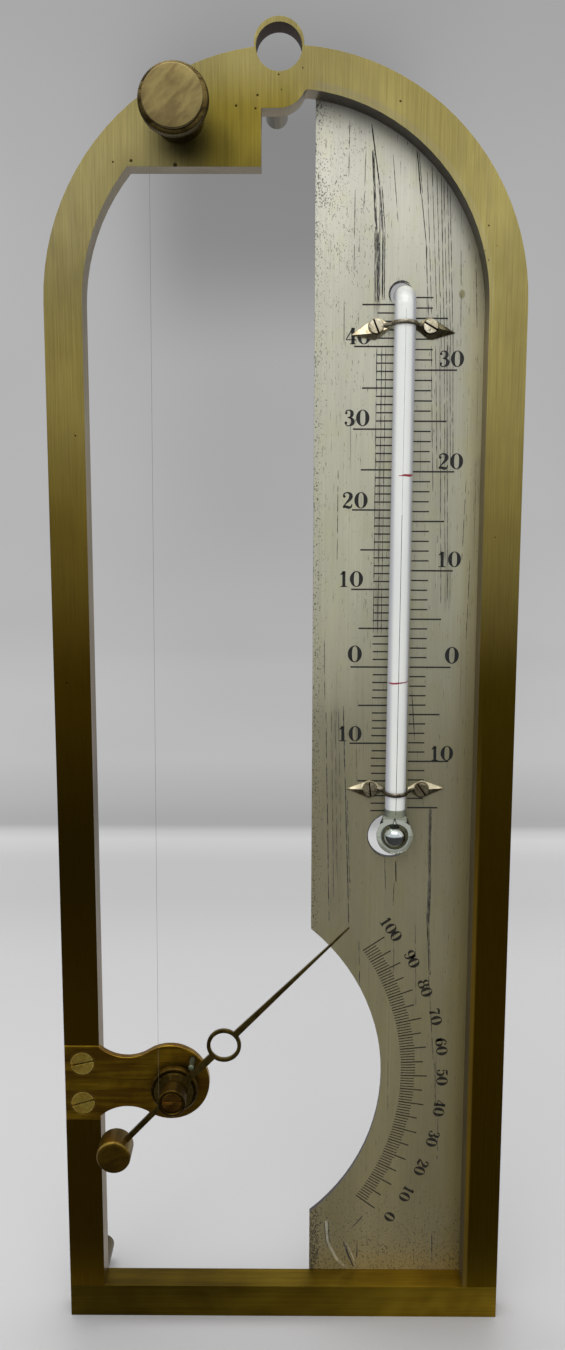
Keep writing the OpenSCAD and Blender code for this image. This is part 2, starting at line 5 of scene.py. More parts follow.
import bmesh
import bpy
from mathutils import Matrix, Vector


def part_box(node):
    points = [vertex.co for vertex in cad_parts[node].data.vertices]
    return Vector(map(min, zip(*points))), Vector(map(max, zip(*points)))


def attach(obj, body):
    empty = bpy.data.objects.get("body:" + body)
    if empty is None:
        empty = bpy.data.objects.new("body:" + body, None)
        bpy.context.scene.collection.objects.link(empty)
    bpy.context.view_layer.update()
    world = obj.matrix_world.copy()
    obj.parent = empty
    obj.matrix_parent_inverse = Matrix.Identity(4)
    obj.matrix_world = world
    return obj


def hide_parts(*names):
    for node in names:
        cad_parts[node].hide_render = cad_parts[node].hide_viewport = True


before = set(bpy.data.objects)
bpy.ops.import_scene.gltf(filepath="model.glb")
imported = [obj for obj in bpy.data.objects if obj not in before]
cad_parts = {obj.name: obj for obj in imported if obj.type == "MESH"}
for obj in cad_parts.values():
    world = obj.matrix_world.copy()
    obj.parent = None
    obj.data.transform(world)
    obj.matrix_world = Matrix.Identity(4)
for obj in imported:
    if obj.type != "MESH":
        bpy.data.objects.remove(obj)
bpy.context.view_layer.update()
random.seed(4)

# Design space: millimetres, x to the right of the arch's middle, d back from the frame's front, z up
# from the arch's centre.
LEG_H = 267.6
frame_low, frame_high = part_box("arch_frame")
ORIGIN = Vector(((frame_low.x + frame_high.x) / 2, frame_low.y, frame_low.z + LEG_H / 1000))
PLATE_FRONT = 7.6
PLATE_LEFT = 7.3
TUBE = (29.7, 4.8)
TUBE_R = 2.75
TUBE_TOP = 2.0
TUBE_BEND = 2.8
BULB_Z = -138.0
BULB_R = 4.9
CLIP_Z = {"upper": -5.4, "lower": -125.7}
HEAD_R = 1.85
HUB = (-29.6, -206.8)
KNOB = (-25.8, 42.8)
EYE = (-1.7, 58.65)
REST = math.radians(45)


def at(x, d, z):
    return ORIGIN + Vector((x, d, z)) / 1000


def polar(r, angle, centre=(0, 0)):
    return (centre[0] + r * math.cos(angle), centre[1] + r * math.sin(angle))


def turns(steps):
    """Angles once round, in even steps."""
    return [2 * math.pi * i / steps for i in range(steps)]


def circle(r, steps):
    return [polar(r, a) for a in turns(steps)]


def stem_x(z):
    """The stem leans a quarter of a millimetre to each side of upright."""
    return TUBE[0] + 0.25 * (z - TUBE_TOP + 67) / 67


BULB_AT = (stem_x(BULB_Z), TUBE[1])


# ---------------------------------------------------------------- meshes


def add_object(name, data):
    made = bpy.data.objects.new(name, data)
    bpy.context.scene.collection.objects.link(made)
    return made


def make(name, verts, faces, material, body="frame", slot=None, replaces=(), sharp=35, flat=False):
    """A piece from vertices in design millimetres."""
    mesh = bpy.data.meshes.new(name)
    mesh.from_pydata([at(*v) for v in verts], [], faces)
    bm = bmesh.new()
    bm.from_mesh(mesh)
    bmesh.ops.recalc_face_normals(bm, faces=bm.faces)
    bm.to_mesh(mesh)
    bm.free()
    return finish_piece(name, mesh, material, body, replaces, sharp, flat)


def finish_piece(name, mesh, material, body, replaces, sharp, flat=False):
    if not flat:
        mesh.shade_smooth()
        mesh.set_sharp_from_angle(angle=math.radians(sharp))
    mesh.materials.clear()
    mesh.materials.append(material)
    piece = add_object(name, mesh)
    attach(piece, body)
    if replaces:
        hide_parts(*replaces)
    return piece


def opened(mesh, near):
    """A mesh opened for editing, with the vertices that lie within near of each other joined."""
    bm = bmesh.new()
    bm.from_mesh(mesh)
    bmesh.ops.remove_doubles(bm, verts=bm.verts, dist=near)
    return bm


def rounded(node, name, material, width, body="frame", segments=2, angle=32):
    """A CAD node again, with its sharp edges rounded over."""
    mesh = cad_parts[node].data.copy()
    for layer in [a.name for a in mesh.attributes if a.name == "custom_normal"]:
        mesh.attributes.remove(mesh.attributes[layer])
    bm = opened(mesh, 2e-6)
    bmesh.ops.dissolve_limit(bm, angle_limit=math.radians(0.4), verts=bm.verts, edges=bm.edges)
    edges = [e for e in bm.edges if len(e.link_faces) == 2 and e.calc_face_angle(0) > math.radians(angle)]
    bmesh.ops.bevel(bm, geom=edges, offset=width / 1000, offset_type="OFFSET", segments=segments,
                    profile=0.5, affect="EDGES", clamp_overlap=True)
    bmesh.ops.triangulate(bm, faces=[f for f in bm.faces if len(f.verts) > 4])
    bm.to_mesh(mesh)
    bm.free()
    piece = finish_piece(name, mesh, material, body, (node,), 40)
    piece.modifiers.new("weighted", "WEIGHTED_NORMAL").keep_sharp = True


def thinned(node, name, material, by):
    """A CAD node again, drawn in along its normals."""
    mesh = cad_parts[node].data.copy()
    bm = opened(mesh, 1e-6)
    bm.normal_update()
    for vert in bm.verts:
        vert.co -= vert.normal * by / 1000
    bm.to_mesh(mesh)
    bm.free()
    finish_piece(name, mesh, material, "frame", (node,), 60)


def round_profile(points, radius=0.2, steps=3):
    """A polyline with each inner corner replaced by a small arc."""
    out = [points[0]]
    for a, b, c in zip(points, points[1:], points[2:]):
        a, b, c = Vector(a), Vector(b), Vector(c)
        u, v = (a - b), (c - b)
        r = min(radius, u.length * 0.45, v.length * 0.45)
        p, q = b + u.normalized() * r, b + v.normalized() * r
        for i in range(steps + 1):
            t = i / steps
            out.append(tuple((1 - t) ** 2 * p + 2 * t * (1 - t) * b + t * t * q))
    out.append(points[-1])
    return out


def lathe(name, profile, centre, material, steps=72, wave=None, axis="d", **kw):
    """A turned piece: profile is (radius, height) from one end to the other. The axis runs along d
    through centre = (x, z), or along z through centre = (x, d)."""
    verts, faces, rings = [], [], []
    for k, (r, h) in enumerate(profile):
        if r < 1e-6:
            rings.append([len(verts)])
            verts.append(turned_point(0, 0, h, centre, axis))
            continue
        rings.append(list(range(len(verts), len(verts) + steps)))
        for a in turns(steps):
            u, v = polar(r - (wave(a, k) if wave else 0), a)
            verts.append(turned_point(u, v, h, centre, axis))
    for a, b in zip(rings, rings[1:]):
        for i in range(steps):
            j = (i + 1) % steps
            face = list(dict.fromkeys((a[i % len(a)], a[j % len(a)], b[j % len(b)], b[i % len(b)])))
            if len(face) > 2:
                faces.append(face)
    for ring, way in ((rings[0], 1), (rings[-1], -1)):
        if len(ring) > 1:
            faces.append(ring[::way])
    return make(name, verts, faces, material, **kw)


def turned_point(u, v, h, centre, axis):
    if axis == "d":
        return (centre[0] + u, h, centre[1] + v)
    return (centre[0] + u, centre[1] + v, h)


def tube_faces(rows, n, start=0, closed=False):
    """Faces between rows of n vertices each, with two ends unless the last row joins the first."""
    faces = []
    for i in range(rows if closed else rows - 1):
        a, b = start + n * i, start + n * ((i + 1) % rows)
        faces += [[a + k, a + (k + 1) % n, b + (k + 1) % n, b + k] for k in range(n)]
    if not closed:
        faces += [[start + k for k in range(n)], [start + n * rows - 1 - k for k in range(n)]]
    return faces


def sweep(name, path, section, material, side=(1, 0, 0), **kw):
    """A section of (across, up) points carried along a path; side is the fixed across direction."""
    verts = []
    side = Vector(side).normalized()
    path = [Vector(p) for p in path]
    for i, p in enumerate(path):
        ahead = (path[min(i + 1, len(path) - 1)] - path[max(i - 1, 0)]).normalized()
        up = side.cross(ahead).normalized()
        for u, v in section:
            verts.append(tuple(p + side * u + up * v))
    make(name, verts, tube_faces(len(path), len(section)), material, **kw)


def oval(a, b, steps):
    """A rounded section, between an ellipse and a box."""
    return [tuple(half * math.copysign(abs(v) ** (2 / 2.6), v) for half, v in zip((a, b), point))
            for point in circle(1, steps)]


def spline(points, closed=False, steps=6):
    """A smooth line through the points, whatever their number of parts."""
    n = len(points)
    out = []
    for i in range(n if closed else n - 1):
        a, b, c, d = (points[k % n if closed else min(max(k, 0), n - 1)] for k in range(i - 1, i + 3))
        for s in range(steps):
            t = s / steps
            out.append(tuple(0.5 * (2 * q + (r - p) * t + (2 * p - 5 * q + 4 * r - s2) * t * t
                                    + (3 * q - p - 3 * r + s2) * t ** 3) for p, q, r, s2 in zip(a, b, c, d)))
    if not closed:
        out.append(tuple(points[-1]))
    return out


class Ink:
    """Marks on the scale plate, as closed plates that stand proud by a few hundredths of a millimetre."""

    def __init__(self, proud):
        self.front, self.back, self.verts, self.faces = PLATE_FRONT - proud, PLATE_FRONT + 0.05, [], []

    def ribbon(self, line, closed=False):
        """line is (x, z, half width); the ribbon follows it."""
        n, start = len(line), len(self.verts)
        for i, (x, z, w) in enumerate(line):
            p = line[i - 1] if closed or i else line[i]
            q = line[(i + 1) % n] if closed or i < n - 1 else line[i]
            dx, dz = q[0] - p[0], q[1] - p[1]
            size = math.hypot(dx, dz) or 1
            nx, nz = -dz / size * w, dx / size * w
            self.verts += [(x + nx, self.front, z + nz), (x - nx, self.front, z - nz),
                           (x - nx, self.back, z - nz), (x + nx, self.back, z + nz)]
        self.faces += tube_faces(n, 4, start, closed)

    def bar(self, p, q, width):
        self.ribbon([(p[0], p[1], width / 2), (q[0], q[1], width / 2)])

    def dot(self, p, r, steps=12):
        start = len(self.verts)
        ring = [polar(r, a, p) for a in turns(steps)]
        self.verts += [(x, self.front, z) for x, z in ring] + [(x, self.back, z) for x, z in ring]
        self.faces += [[start + i for i in range(steps)], [start + 2 * steps - 1 - i for i in range(steps)]]
        self.faces += [[start + i, start + j, start + steps + j, start + steps + i]
                       for i, j in ((i, (i + 1) % steps) for i in range(steps))]

    def piece(self, name, material, **kw):
        make(name, self.verts, self.faces, material, flat=True, **kw)


# Numerals on a height of 1: closed strokes and open strokes of (x, y, half width), and balls of (x, y, r)
def loop(y, half_w, half_h, swell, steps=16):
    """A closed stroke, thick at its sides."""
    return [(0.34 + half_w * math.cos(t), y + half_h * math.sin(t), 0.018 + swell * math.cos(t) ** 2)
            for t in turns(steps)]


def half_turn(points):
    return [(0.68 - x, 1 - y, size) for x, y, size in points]


SIX = ([loop(0.31, 0.27, 0.29, 0.062)],
       [[(0.56, 0.84, 0.02), (0.47, 0.95, 0.02), (0.35, 0.98, 0.02), (0.18, 0.84, 0.05), (0.08, 0.55, 0.082),
         (0.09, 0.30, 0.08), (0.2, 0.08, 0.04)]], [(0.54, 0.82, 0.075)])
DIGITS = {
    "0": ([loop(0.5, 0.29, 0.485, 0.075, 20)], [], []),
    "1": ([], [[(0.34, 0.99, 0.07), (0.34, 0.5, 0.07), (0.34, 0.02, 0.07)],
               [(0.12, 0.02, 0.022), (0.56, 0.02, 0.022)],
               [(0.12, 0.78, 0.02), (0.22, 0.84, 0.035), (0.32, 0.97, 0.05)]], []),
    "2": ([], [[(0.1, 0.74, 0.03), (0.14, 0.9, 0.03), (0.33, 0.98, 0.03), (0.53, 0.88, 0.07), (0.56, 0.7, 0.085),
                (0.44, 0.5, 0.06), (0.22, 0.27, 0.03), (0.07, 0.05, 0.03)],
               [(0.07, 0.06, 0.04), (0.22, 0.1, 0.06), (0.42, 0.05, 0.065), (0.58, 0.09, 0.04),
                (0.63, 0.26, 0.018)]], [(0.15, 0.74, 0.085)]),
    "3": ([], [[(0.12, 0.82, 0.02), (0.2, 0.94, 0.025), (0.34, 0.98, 0.025), (0.51, 0.88, 0.065),
                (0.52, 0.68, 0.075), (0.42, 0.55, 0.04), (0.26, 0.52, 0.02)],
               [(0.26, 0.53, 0.02), (0.46, 0.49, 0.04), (0.58, 0.34, 0.08), (0.55, 0.14, 0.075),
                (0.36, 0.02, 0.025), (0.2, 0.04, 0.025), (0.1, 0.18, 0.02)]],
          [(0.17, 0.8, 0.08), (0.15, 0.2, 0.085)]),
    "4": ([], [[(0.46, 0.99, 0.075), (0.46, 0.5, 0.075), (0.46, 0.02, 0.075)],
               [(0.44, 0.98, 0.03), (0.24, 0.62, 0.025), (0.03, 0.27, 0.022)],
               [(0.03, 0.27, 0.022), (0.66, 0.27, 0.022)], [(0.28, 0.02, 0.02), (0.64, 0.02, 0.02)]], []),
    "5": ([], [[(0.14, 0.95, 0.025), (0.12, 0.72, 0.02), (0.11, 0.5, 0.02)],
               [(0.14, 0.93, 0.03), (0.34, 0.89, 0.06), (0.56, 0.95, 0.035)],
               [(0.11, 0.51, 0.02), (0.3, 0.62, 0.025), (0.53, 0.53, 0.065), (0.58, 0.31, 0.085),
                (0.5, 0.1, 0.06), (0.33, 0.02, 0.025), (0.18, 0.05, 0.025), (0.1, 0.18, 0.02)]],
          [(0.15, 0.2, 0.085)]),
    "6": SIX,
    "7": ([], [[(0.07, 0.74, 0.018), (0.1, 0.9, 0.03)],
               [(0.1, 0.9, 0.05), (0.28, 0.93, 0.065), (0.46, 0.88, 0.05), (0.6, 0.95, 0.03)],
               [(0.59, 0.94, 0.02), (0.44, 0.62, 0.035), (0.33, 0.34, 0.07), (0.31, 0.05, 0.085)]], []),
    "8": ([loop(0.755, 0.22, 0.225, 0.05), loop(0.28, 0.28, 0.26, 0.062)], [], []),
    "9": ([half_turn(line) for line in SIX[0]], [half_turn(line) for line in SIX[1]], half_turn(SIX[2])),
}
ADVANCE = {"1": 0.74}


def number(ink, text, centre, height, turn=0.0, spacing=0.92, weight=1.0):
    """Draws a number with its middle at centre, turned by an angle in radians."""
    widths = [ADVANCE.get(c, spacing) for c in text]
    pen = -sum(widths) / 2
    cos, sin = math.cos(turn), math.sin(turn)

    def put(x, y):
        u, v = x * height, (y - 0.5) * height
        return centre[0] + u * cos - v * sin, centre[1] + u * sin + v * cos

    for c, width in zip(text, widths):
        left = pen + (width - 0.68) / 2
        loops, lines, balls = DIGITS[c]
        for i, line in enumerate(loops + lines):
            closed = i < len(loops)
            smooth = spline(line, closed, 3) if len(line) > 2 else line
            ink.ribbon([(*put(x + left, y), w * height * weight) for x, y, w in smooth], closed)
        for x, y, r in balls:
            ink.dot(put(x + left, y), r * height)
        pen += width


# ---------------------------------------------------------------- materials


def rgb(r, g, b):
    """A colour as it looks on a screen, 0 to 255, in Blender's linear numbers."""
    return tuple((c / 255) / 12.92 if c <= 10 else ((c / 255 + 0.055) / 1.055) ** 2.4 for c in (r, g, b)) + (1.0,)


class Nodes:
    """A tree of shader nodes. Its calls take numbers, colours and sockets, and most of them give a socket."""

    def __init__(self, tree):
        tree.nodes.clear()
        self.tree = tree

    def add(self, kind, *inputs, **settings):
        node = self.tree.nodes.new("ShaderNode" + kind)
        for key, value in settings.items():
            setattr(node, key, value)
        for i, value in enumerate(inputs):
            self.put(node, i, value)
        return node

    def put(self, node, key, value):
        if isinstance(value, bpy.types.NodeSocket):
            self.tree.links.new(value, node.inputs[key])
        elif value is not None:
            node.inputs[key].default_value = value

    def named(self, node, **inputs):
        """Fills a node's inputs by name, with _ for a space."""
        for key, value in inputs.items():
            self.put(node, key.replace("_", " "), value)
        return node.outputs[0]

    def math(self, operation, *values):
        return self.add("Math", *values, operation=operation).outputs[0]

    def mul(self, value, *others):
        for other in others:
            value = self.math("MULTIPLY", value, other)
        return value

    def plus(self, a, b):
        return self.math("ADD", a, b)

    def minus(self, a, b):
        return self.math("SUBTRACT", a, b)

    def most(self, a, b):
        return self.math("MAXIMUM", a, b)

    def size(self, a):
        return self.math("ABSOLUTE", a)

    def vector(self, operation, *values, scale=None):
        node = self.add("VectorMath", *values, operation=operation)
        self.put(node, "Scale", scale)
        return node.outputs["Value" if operation in ("LENGTH", "DISTANCE") else "Vector"]

    def parts(self, vector):
        return self.add("SeparateXYZ", vector).outputs

    def band(self, value, low, high, to_low=0.0, to_high=1.0, smooth=True):
        """Carries low..high to to_low..to_high and holds it outside."""
        kind = "SMOOTHSTEP" if smooth else "LINEAR"
        return self.add("MapRange", value, low, high, to_low, to_high, interpolation_type=kind).outputs[0]

    def vary(self, noise, low, high):
        """Spreads a noise between two levels."""
        return self.band(noise, 0.3, 0.7, low, high, False)

    def hump(self, value, centre, half, soft):
        """1 within half of centre, falling to 0 over soft."""
        return self.band(self.size(self.minus(value, centre)), half, half + soft, 1.0, 0.0)

    def mix(self, share, a, b):
        node = self.add("Mix", share, data_type="RGBA")
        self.put(node, 6, a)
        self.put(node, 7, b)
        return node.outputs[2]

    def times(self, colour, factor):
        """A colour made lighter or darker by a number."""
        return self.vector("SCALE", colour, scale=factor)

    def tint(self, share, colour, by):
        return self.mix(share, colour, self.vector("MULTIPLY", colour, by))

    def ramp(self, value, stops, end=None, kind="EASE"):
        """Colours by value. stops are (value, colour), and end is where the ramp ends if that is past them."""
        start = stops[0][0]
        end = stops[-1][0] if end is None else end
        node = self.add("ValToRGB", self.band(value, start, end, smooth=False))
        elements = node.color_ramp.elements
        node.color_ramp.interpolation = kind
        for i, (place, colour) in enumerate(stops):
            place = (place - start) / (end - start)
            stop = elements[i] if i < 2 else elements.new(place)
            stop.position, stop.color = place, colour
        return node.outputs[0]


class Graph(Nodes):
    """One material's nodes round its shader. Places are in design millimetres."""

    def __init__(self, name):
        self.material = bpy.data.materials.new(name)
        self.material.use_nodes = True
        super().__init__(self.material.node_tree)
        coords = self.add("TexCoord").outputs
        self.pos = self.vector("SCALE", self.vector("SUBTRACT", coords["Object"], ORIGIN), scale=1000)
        self.flat = self.vector("MULTIPLY", self.pos, (1, 0, 1))
        self.x, self.d, self.z = self.parts(self.pos)
        self.normal = self.parts(coords["Normal"])
        self.shader = self.add("BsdfPrincipled")
        self.add("OutputMaterial", self.shader.outputs[0])

    def noise(self, per_mm, detail=3.0, roughness=0.5, shift=0.0, distortion=0.0):
        """Noise with its own number of features a millimetre along x, d and z."""
        place = self.vector("MULTIPLY", self.pos, per_mm)
        if shift:
            place = self.vector("ADD", place, (shift, shift * 1.7, shift * 0.6))
        return self.texture(place, detail, roughness, distortion)

    def texture(self, place, detail, roughness, distortion):
        return self.named(self.add("TexNoise"), Vector=place, Scale=1.0, Detail=detail, Roughness=roughness,
                          Distortion=distortion)

    def away(self, x, z):
        """How far a place is from (x, z), whatever its depth."""
        return self.vector("DISTANCE", self.flat, (x, 0, z))

    def reach(self):
        """How far a place is from the arch's centre, or from the centre line below it."""
        upward = self.most(self.z, 0.0)
        return self.math("SQRT", self.plus(self.mul(self.x, self.x), self.mul(upward, upward)))

    def edge_on(self, low, high):
        """1 on faces that look sideways, up or down, and 0 on the front and the back."""
        return self.band(self.size(self.normal[1]), low, high, 1.0, 0.0)

    def bump(self, height, strength, distance_mm):
        return self.named(self.add("Bump"), Strength=strength, Distance=distance_mm / 1000, Height=height)

    def done(self, colour, roughness, metallic=1.0, normal=None, **more):
        self.named(self.shader, Base_Color=colour, Roughness=roughness, Metallic=metallic, Normal=normal, **more)
        return self.material


# Pits in the frame's face: x, z and radius
PITS = [(-12.0, 45.2, 0.42), (-7.35, 44.6, 0.36), (-6.85, 47.6, 0.40), (-1.75, 52.3, 0.3), (-1.1, 48.9, 0.22),
        (4.0, 53.8, 0.24), (-41.9, 32.3, 0.34), (-37.5, 32.6, 0.5), (-26.8, 31.7, 0.7), (27.5, 46.3, 0.36),
        (49.5, 17.7, 0.3), (49.7, 9.6, 0.24), (48.7, 11.8, 0.2), (51.6, 13.0, 0.16), (-52.6, -33, 0.3),
        (-56.4, -96, 0.3), (53.2, -58, 0.25)]
# Colours of the bars by height, darker towards the bottom: partly browning, partly a painted reflection of the dark
# room below eye level
BAR_HEIGHTS = (-277, -200, -140, -100, -60, -20, 20, 60)
LEFT_BAR = ((93, 71, 9), (108, 82, 9), (76, 58, 6), (93, 72, 10), (127, 108, 43), (145, 131, 71), (144, 134, 88),
            (130, 120, 74))
RIGHT_BAR = ((104, 83, 9), (114, 89, 10), (99, 77, 9), (98, 80, 15), (158, 142, 76), (160, 147, 86),
             (164, 152, 93), (146, 134, 78))


def frame_brass():
    """Cast brass, filed lengthwise: yellow at the arch, darker down the bars (partly browned, partly painted
    reflection), with painted shade and pits.
    """
    g = Graph("frame_brass")
    left, right = (g.ramp(g.z, [(z, rgb(*colour)) for z, colour in zip(BAR_HEIGHTS, bar)])
                   for bar in (LEFT_BAR, RIGHT_BAR))
    colour = g.mix(g.band(g.x, 0, 44), left, right)
    # Painted shade: the web right of the knob is darker and a deeper yellow, partly the brass's own tone; a painted
    # shadow of the knob darkens the web below it, down to its lower edge
    deep_tone_and_shade = g.mul(g.hump(g.x, -9, 7, 13), g.band(g.z, 57, 43))
    colour = g.mix(g.mul(deep_tone_and_shade, 0.85), colour, rgb(116, 102, 30))
    web = g.band(g.z, 28, 30)
    low = g.mul(g.hump(g.x, -22, 16, 6), g.band(g.z, 39, 31, 0.0, 0.22), web)
    below = g.mul(g.hump(g.x, -18.5, 4, 7), g.band(g.z, 44, 34, 0.0, 0.42), web)
    colour = g.times(colour, g.minus(1.0, g.most(low, below)))
    strokes = g.noise((2.6, 0.6, 0.035), 4, 0.65)
    fine = g.noise((9, 1, 0.12), 2, 0.6, 3)
    cloud = g.noise((0.05, 0.05, 0.03), 3, 0.55, 7)
    dull = g.noise((0.4, 0.3, 0.06), 4, 0.6, 12)
    colour = g.times(colour, g.plus(g.vary(strokes, 0.80, 1.14), g.vary(fine, -0.07, 0.07)))
    colour = g.times(colour, g.band(cloud, 0.32, 0.68, 0.85, 1.1))
    colour = g.tint(g.band(dull, 0.5, 0.72, 0, 0.5), colour, (0.86, 0.84, 1.0))
    # Painted reflection: faces that look sideways are greyer than the filed faces, more so higher up; painted shade
    # darkens the inner wall beside the plate most, and dulls its metal
    side = g.edge_on(0.25, 0.7)
    beside = g.mul(g.band(g.reach(), 51.0, 51.6, 1.0, 0.0), g.band(g.x, 5, 9))
    dark = g.mul(beside, g.most(g.band(g.z, -12, 6), g.band(g.z, -90, -170, 0.0, 0.7)))
    grey = g.times(rgb(140, 124, 96)[:3], g.band(cloud, 0.3, 0.7, 0.8, 1.05))
    grey = g.times(grey, g.minus(1.0, g.mul(dark, 0.86)))
    colour = g.mix(g.mul(side, g.most(g.band(g.z, -150, 40, 0.3, 0.75), beside)), colour, grey)
    # Painted shade inside the eye: its wall is dark and dull, most at the top
    eye_wall_shade = g.mul(g.band(g.away(*EYE), 5.7, 6.0, 1.0, 0.0), side, g.band(g.z, 56, 60, 0.7, 1.0))
    colour = g.mix(eye_wall_shade, colour, rgb(70, 54, 46))
    metal = g.minus(1.0, g.most(g.mul(eye_wall_shade, 0.95), g.mul(dark, 0.75)))
    pits = 0.0
    for x, z, r in PITS:
        pits = g.most(pits, g.band(g.away(x, z), r * 0.5, r, 1.0, 0.0))
    pits = g.mul(pits, g.band(g.d, 0.1, 0.4, 1.0, 0.0))
    colour = g.mix(g.mul(pits, 0.9), colour, rgb(40, 28, 8))
    rough = g.plus(g.vary(strokes, 0.36, 0.27), g.vary(cloud, 0.08, 0.0))
    rough = g.plus(rough, g.mul(eye_wall_shade, 0.35))
    height = g.minus(g.plus(g.mul(strokes, 0.7), g.mul(fine, 0.3)), pits)
    return g.done(colour, rough, metal, g.bump(height, 0.35, 0.08))


def grained_brass(name, light, dark, along, rough=(0.3, 0.42), bump=0.3, blotch=0.12, spots=0.0, shade=None,
                  bands=None, slot=None, heads=(), ledge=None):
    """Worked brass: grain in one direction, with clouds of tarnish. shade is (x, factor) stops from left to
    right of painted shade and light, bands a second colour in broad stripes along x, slot the depth d past which
    painted shade blackens a screw's slot or a pin's shank, heads the (x, z, radius) of screw heads ringed with
    painted shadow, and ledge a factor of painted light for faces that look up."""
    g = Graph(name)
    strokes = g.noise(along, 4, 0.65, 5)
    fine = g.noise(tuple(3.5 * v for v in along), 2, 0.6, 11)
    cloud = g.noise((blotch, blotch, blotch), 3, 0.6, 2, 0.4)
    colour = g.mix(g.band(cloud, 0.34, 0.68), rgb(*light), rgb(*dark))
    if bands:
        stripe = g.noise((0.03, 0.1, 0.42), 2, 0.55, 27)
        colour = g.mix(g.band(stripe, 0.46, 0.58, 0, 0.8), colour, rgb(*bands))
    colour = g.times(colour, g.band(strokes, 0.28, 0.72, 0.74, 1.2, False))
    colour = g.times(colour, g.vary(fine, 0.93, 1.07))
    # Painted shade and light from left to right
    if shade:
        colour = g.vector("MULTIPLY", colour, g.ramp(g.x, [(x, (v, v, v, 1)) for x, v in shade]))
    # Painted light on faces that look up
    if ledge:
        colour = g.times(colour, g.band(g.normal[2], 0.5, 0.9, 1.0, ledge))
    # Painted shade: a screw's slot or a pin's shank past the depth slot, and a painted shadow round screw heads
    slot_and_rim_shade = None if slot is None else g.band(g.d, slot, slot + 0.12)
    for x, z, r in heads:
        away = g.away(x, z)
        rim = g.mul(g.band(away, r - 0.25, r - 0.05), g.band(away, r + 0.32, r + 0.2))
        slot_and_rim_shade = rim if slot_and_rim_shade is None else g.most(slot_and_rim_shade, rim)
    if slot_and_rim_shade is not None:
        colour = g.mix(g.mul(slot_and_rim_shade, 0.92), colour, rgb(34, 24, 10))
    if spots:
        speck = g.band(g.noise((0.9, 0.9, 0.9), 2, 0.5, 21), 0.66, 0.74)
        colour = g.mix(g.mul(speck, spots), colour, rgb(46, 32, 12))
    roughness = g.vary(g.plus(g.mul(strokes, 0.6), g.mul(cloud, 0.4)), *rough)
    grain = g.bump(strokes, bump, 0.06)
    if slot_and_rim_shade is None:
        return g.done(colour, roughness, 1.0, grain)
    unshaded = g.minus(1.0, slot_and_rim_shade)
    roughness = g.plus(roughness, g.mul(slot_and_rim_shade, 0.4))
    return g.done(colour, roughness, unshaded, grain, Specular_IOR_Level=g.mul(unshaded, 0.5))


def screw_brass(name, light, dark, dull=0.42, **more):
    return grained_brass(name, light, dark, (1.6, 0.6, 1.6), (0.3, dull), 0.2, 0.25, 0.3, **more)


def turned_brass(name, light, dark, centre, rough=(0.26, 0.4), rings_mm=0.35, bump=0.25, depth=0.12, lean=0.0):
    """Turned brass: fine rings about an axis along d, with a few dull smears that lean by an angle."""
    g = Graph(name)
    flat = g.vector("SUBTRACT", g.flat, (centre[0], 0, centre[1]))
    outward = g.math("DIVIDE", g.plus(g.vector("LENGTH", flat), g.d), rings_mm)
    rings = g.named(g.add("TexNoise", noise_dimensions="1D"), W=outward, Scale=1.0, Detail=2.0)
    turned = g.named(g.add("VectorRotate", rotation_type="Y_AXIS"), Vector=flat, Angle=lean)
    smear = g.texture(g.vector("MULTIPLY", turned, (0.09, 0.2, 0.34)), 4.0, 0.6, 0.5)
    colour = g.mix(g.band(smear, 0.38, 0.64), rgb(*light), rgb(*dark))
    colour = g.times(colour, g.vary(rings, 1 - depth, 1 + depth))
    return g.done(colour, g.band(smear, 0.35, 0.65, *rough, False), 1.0, g.bump(rings, bump, 0.03))


# Dull grey smears beside the stem: x, half width, top, foot and strength
SMEARS = [(22.9, 0.7, 16, -2, 0.55), (24.3, 1.0, -28, -84, 0.30), (40.6, 2.2, -4, -78, 0.12),
          (42.6, 1.0, -62, -76, 0.35), (13.8, 1.8, -104, -160, 0.16), (39.2, 0.5, -131, -164, 0.5),
          (49.6, 1.0, -38, -50, 0.3)]


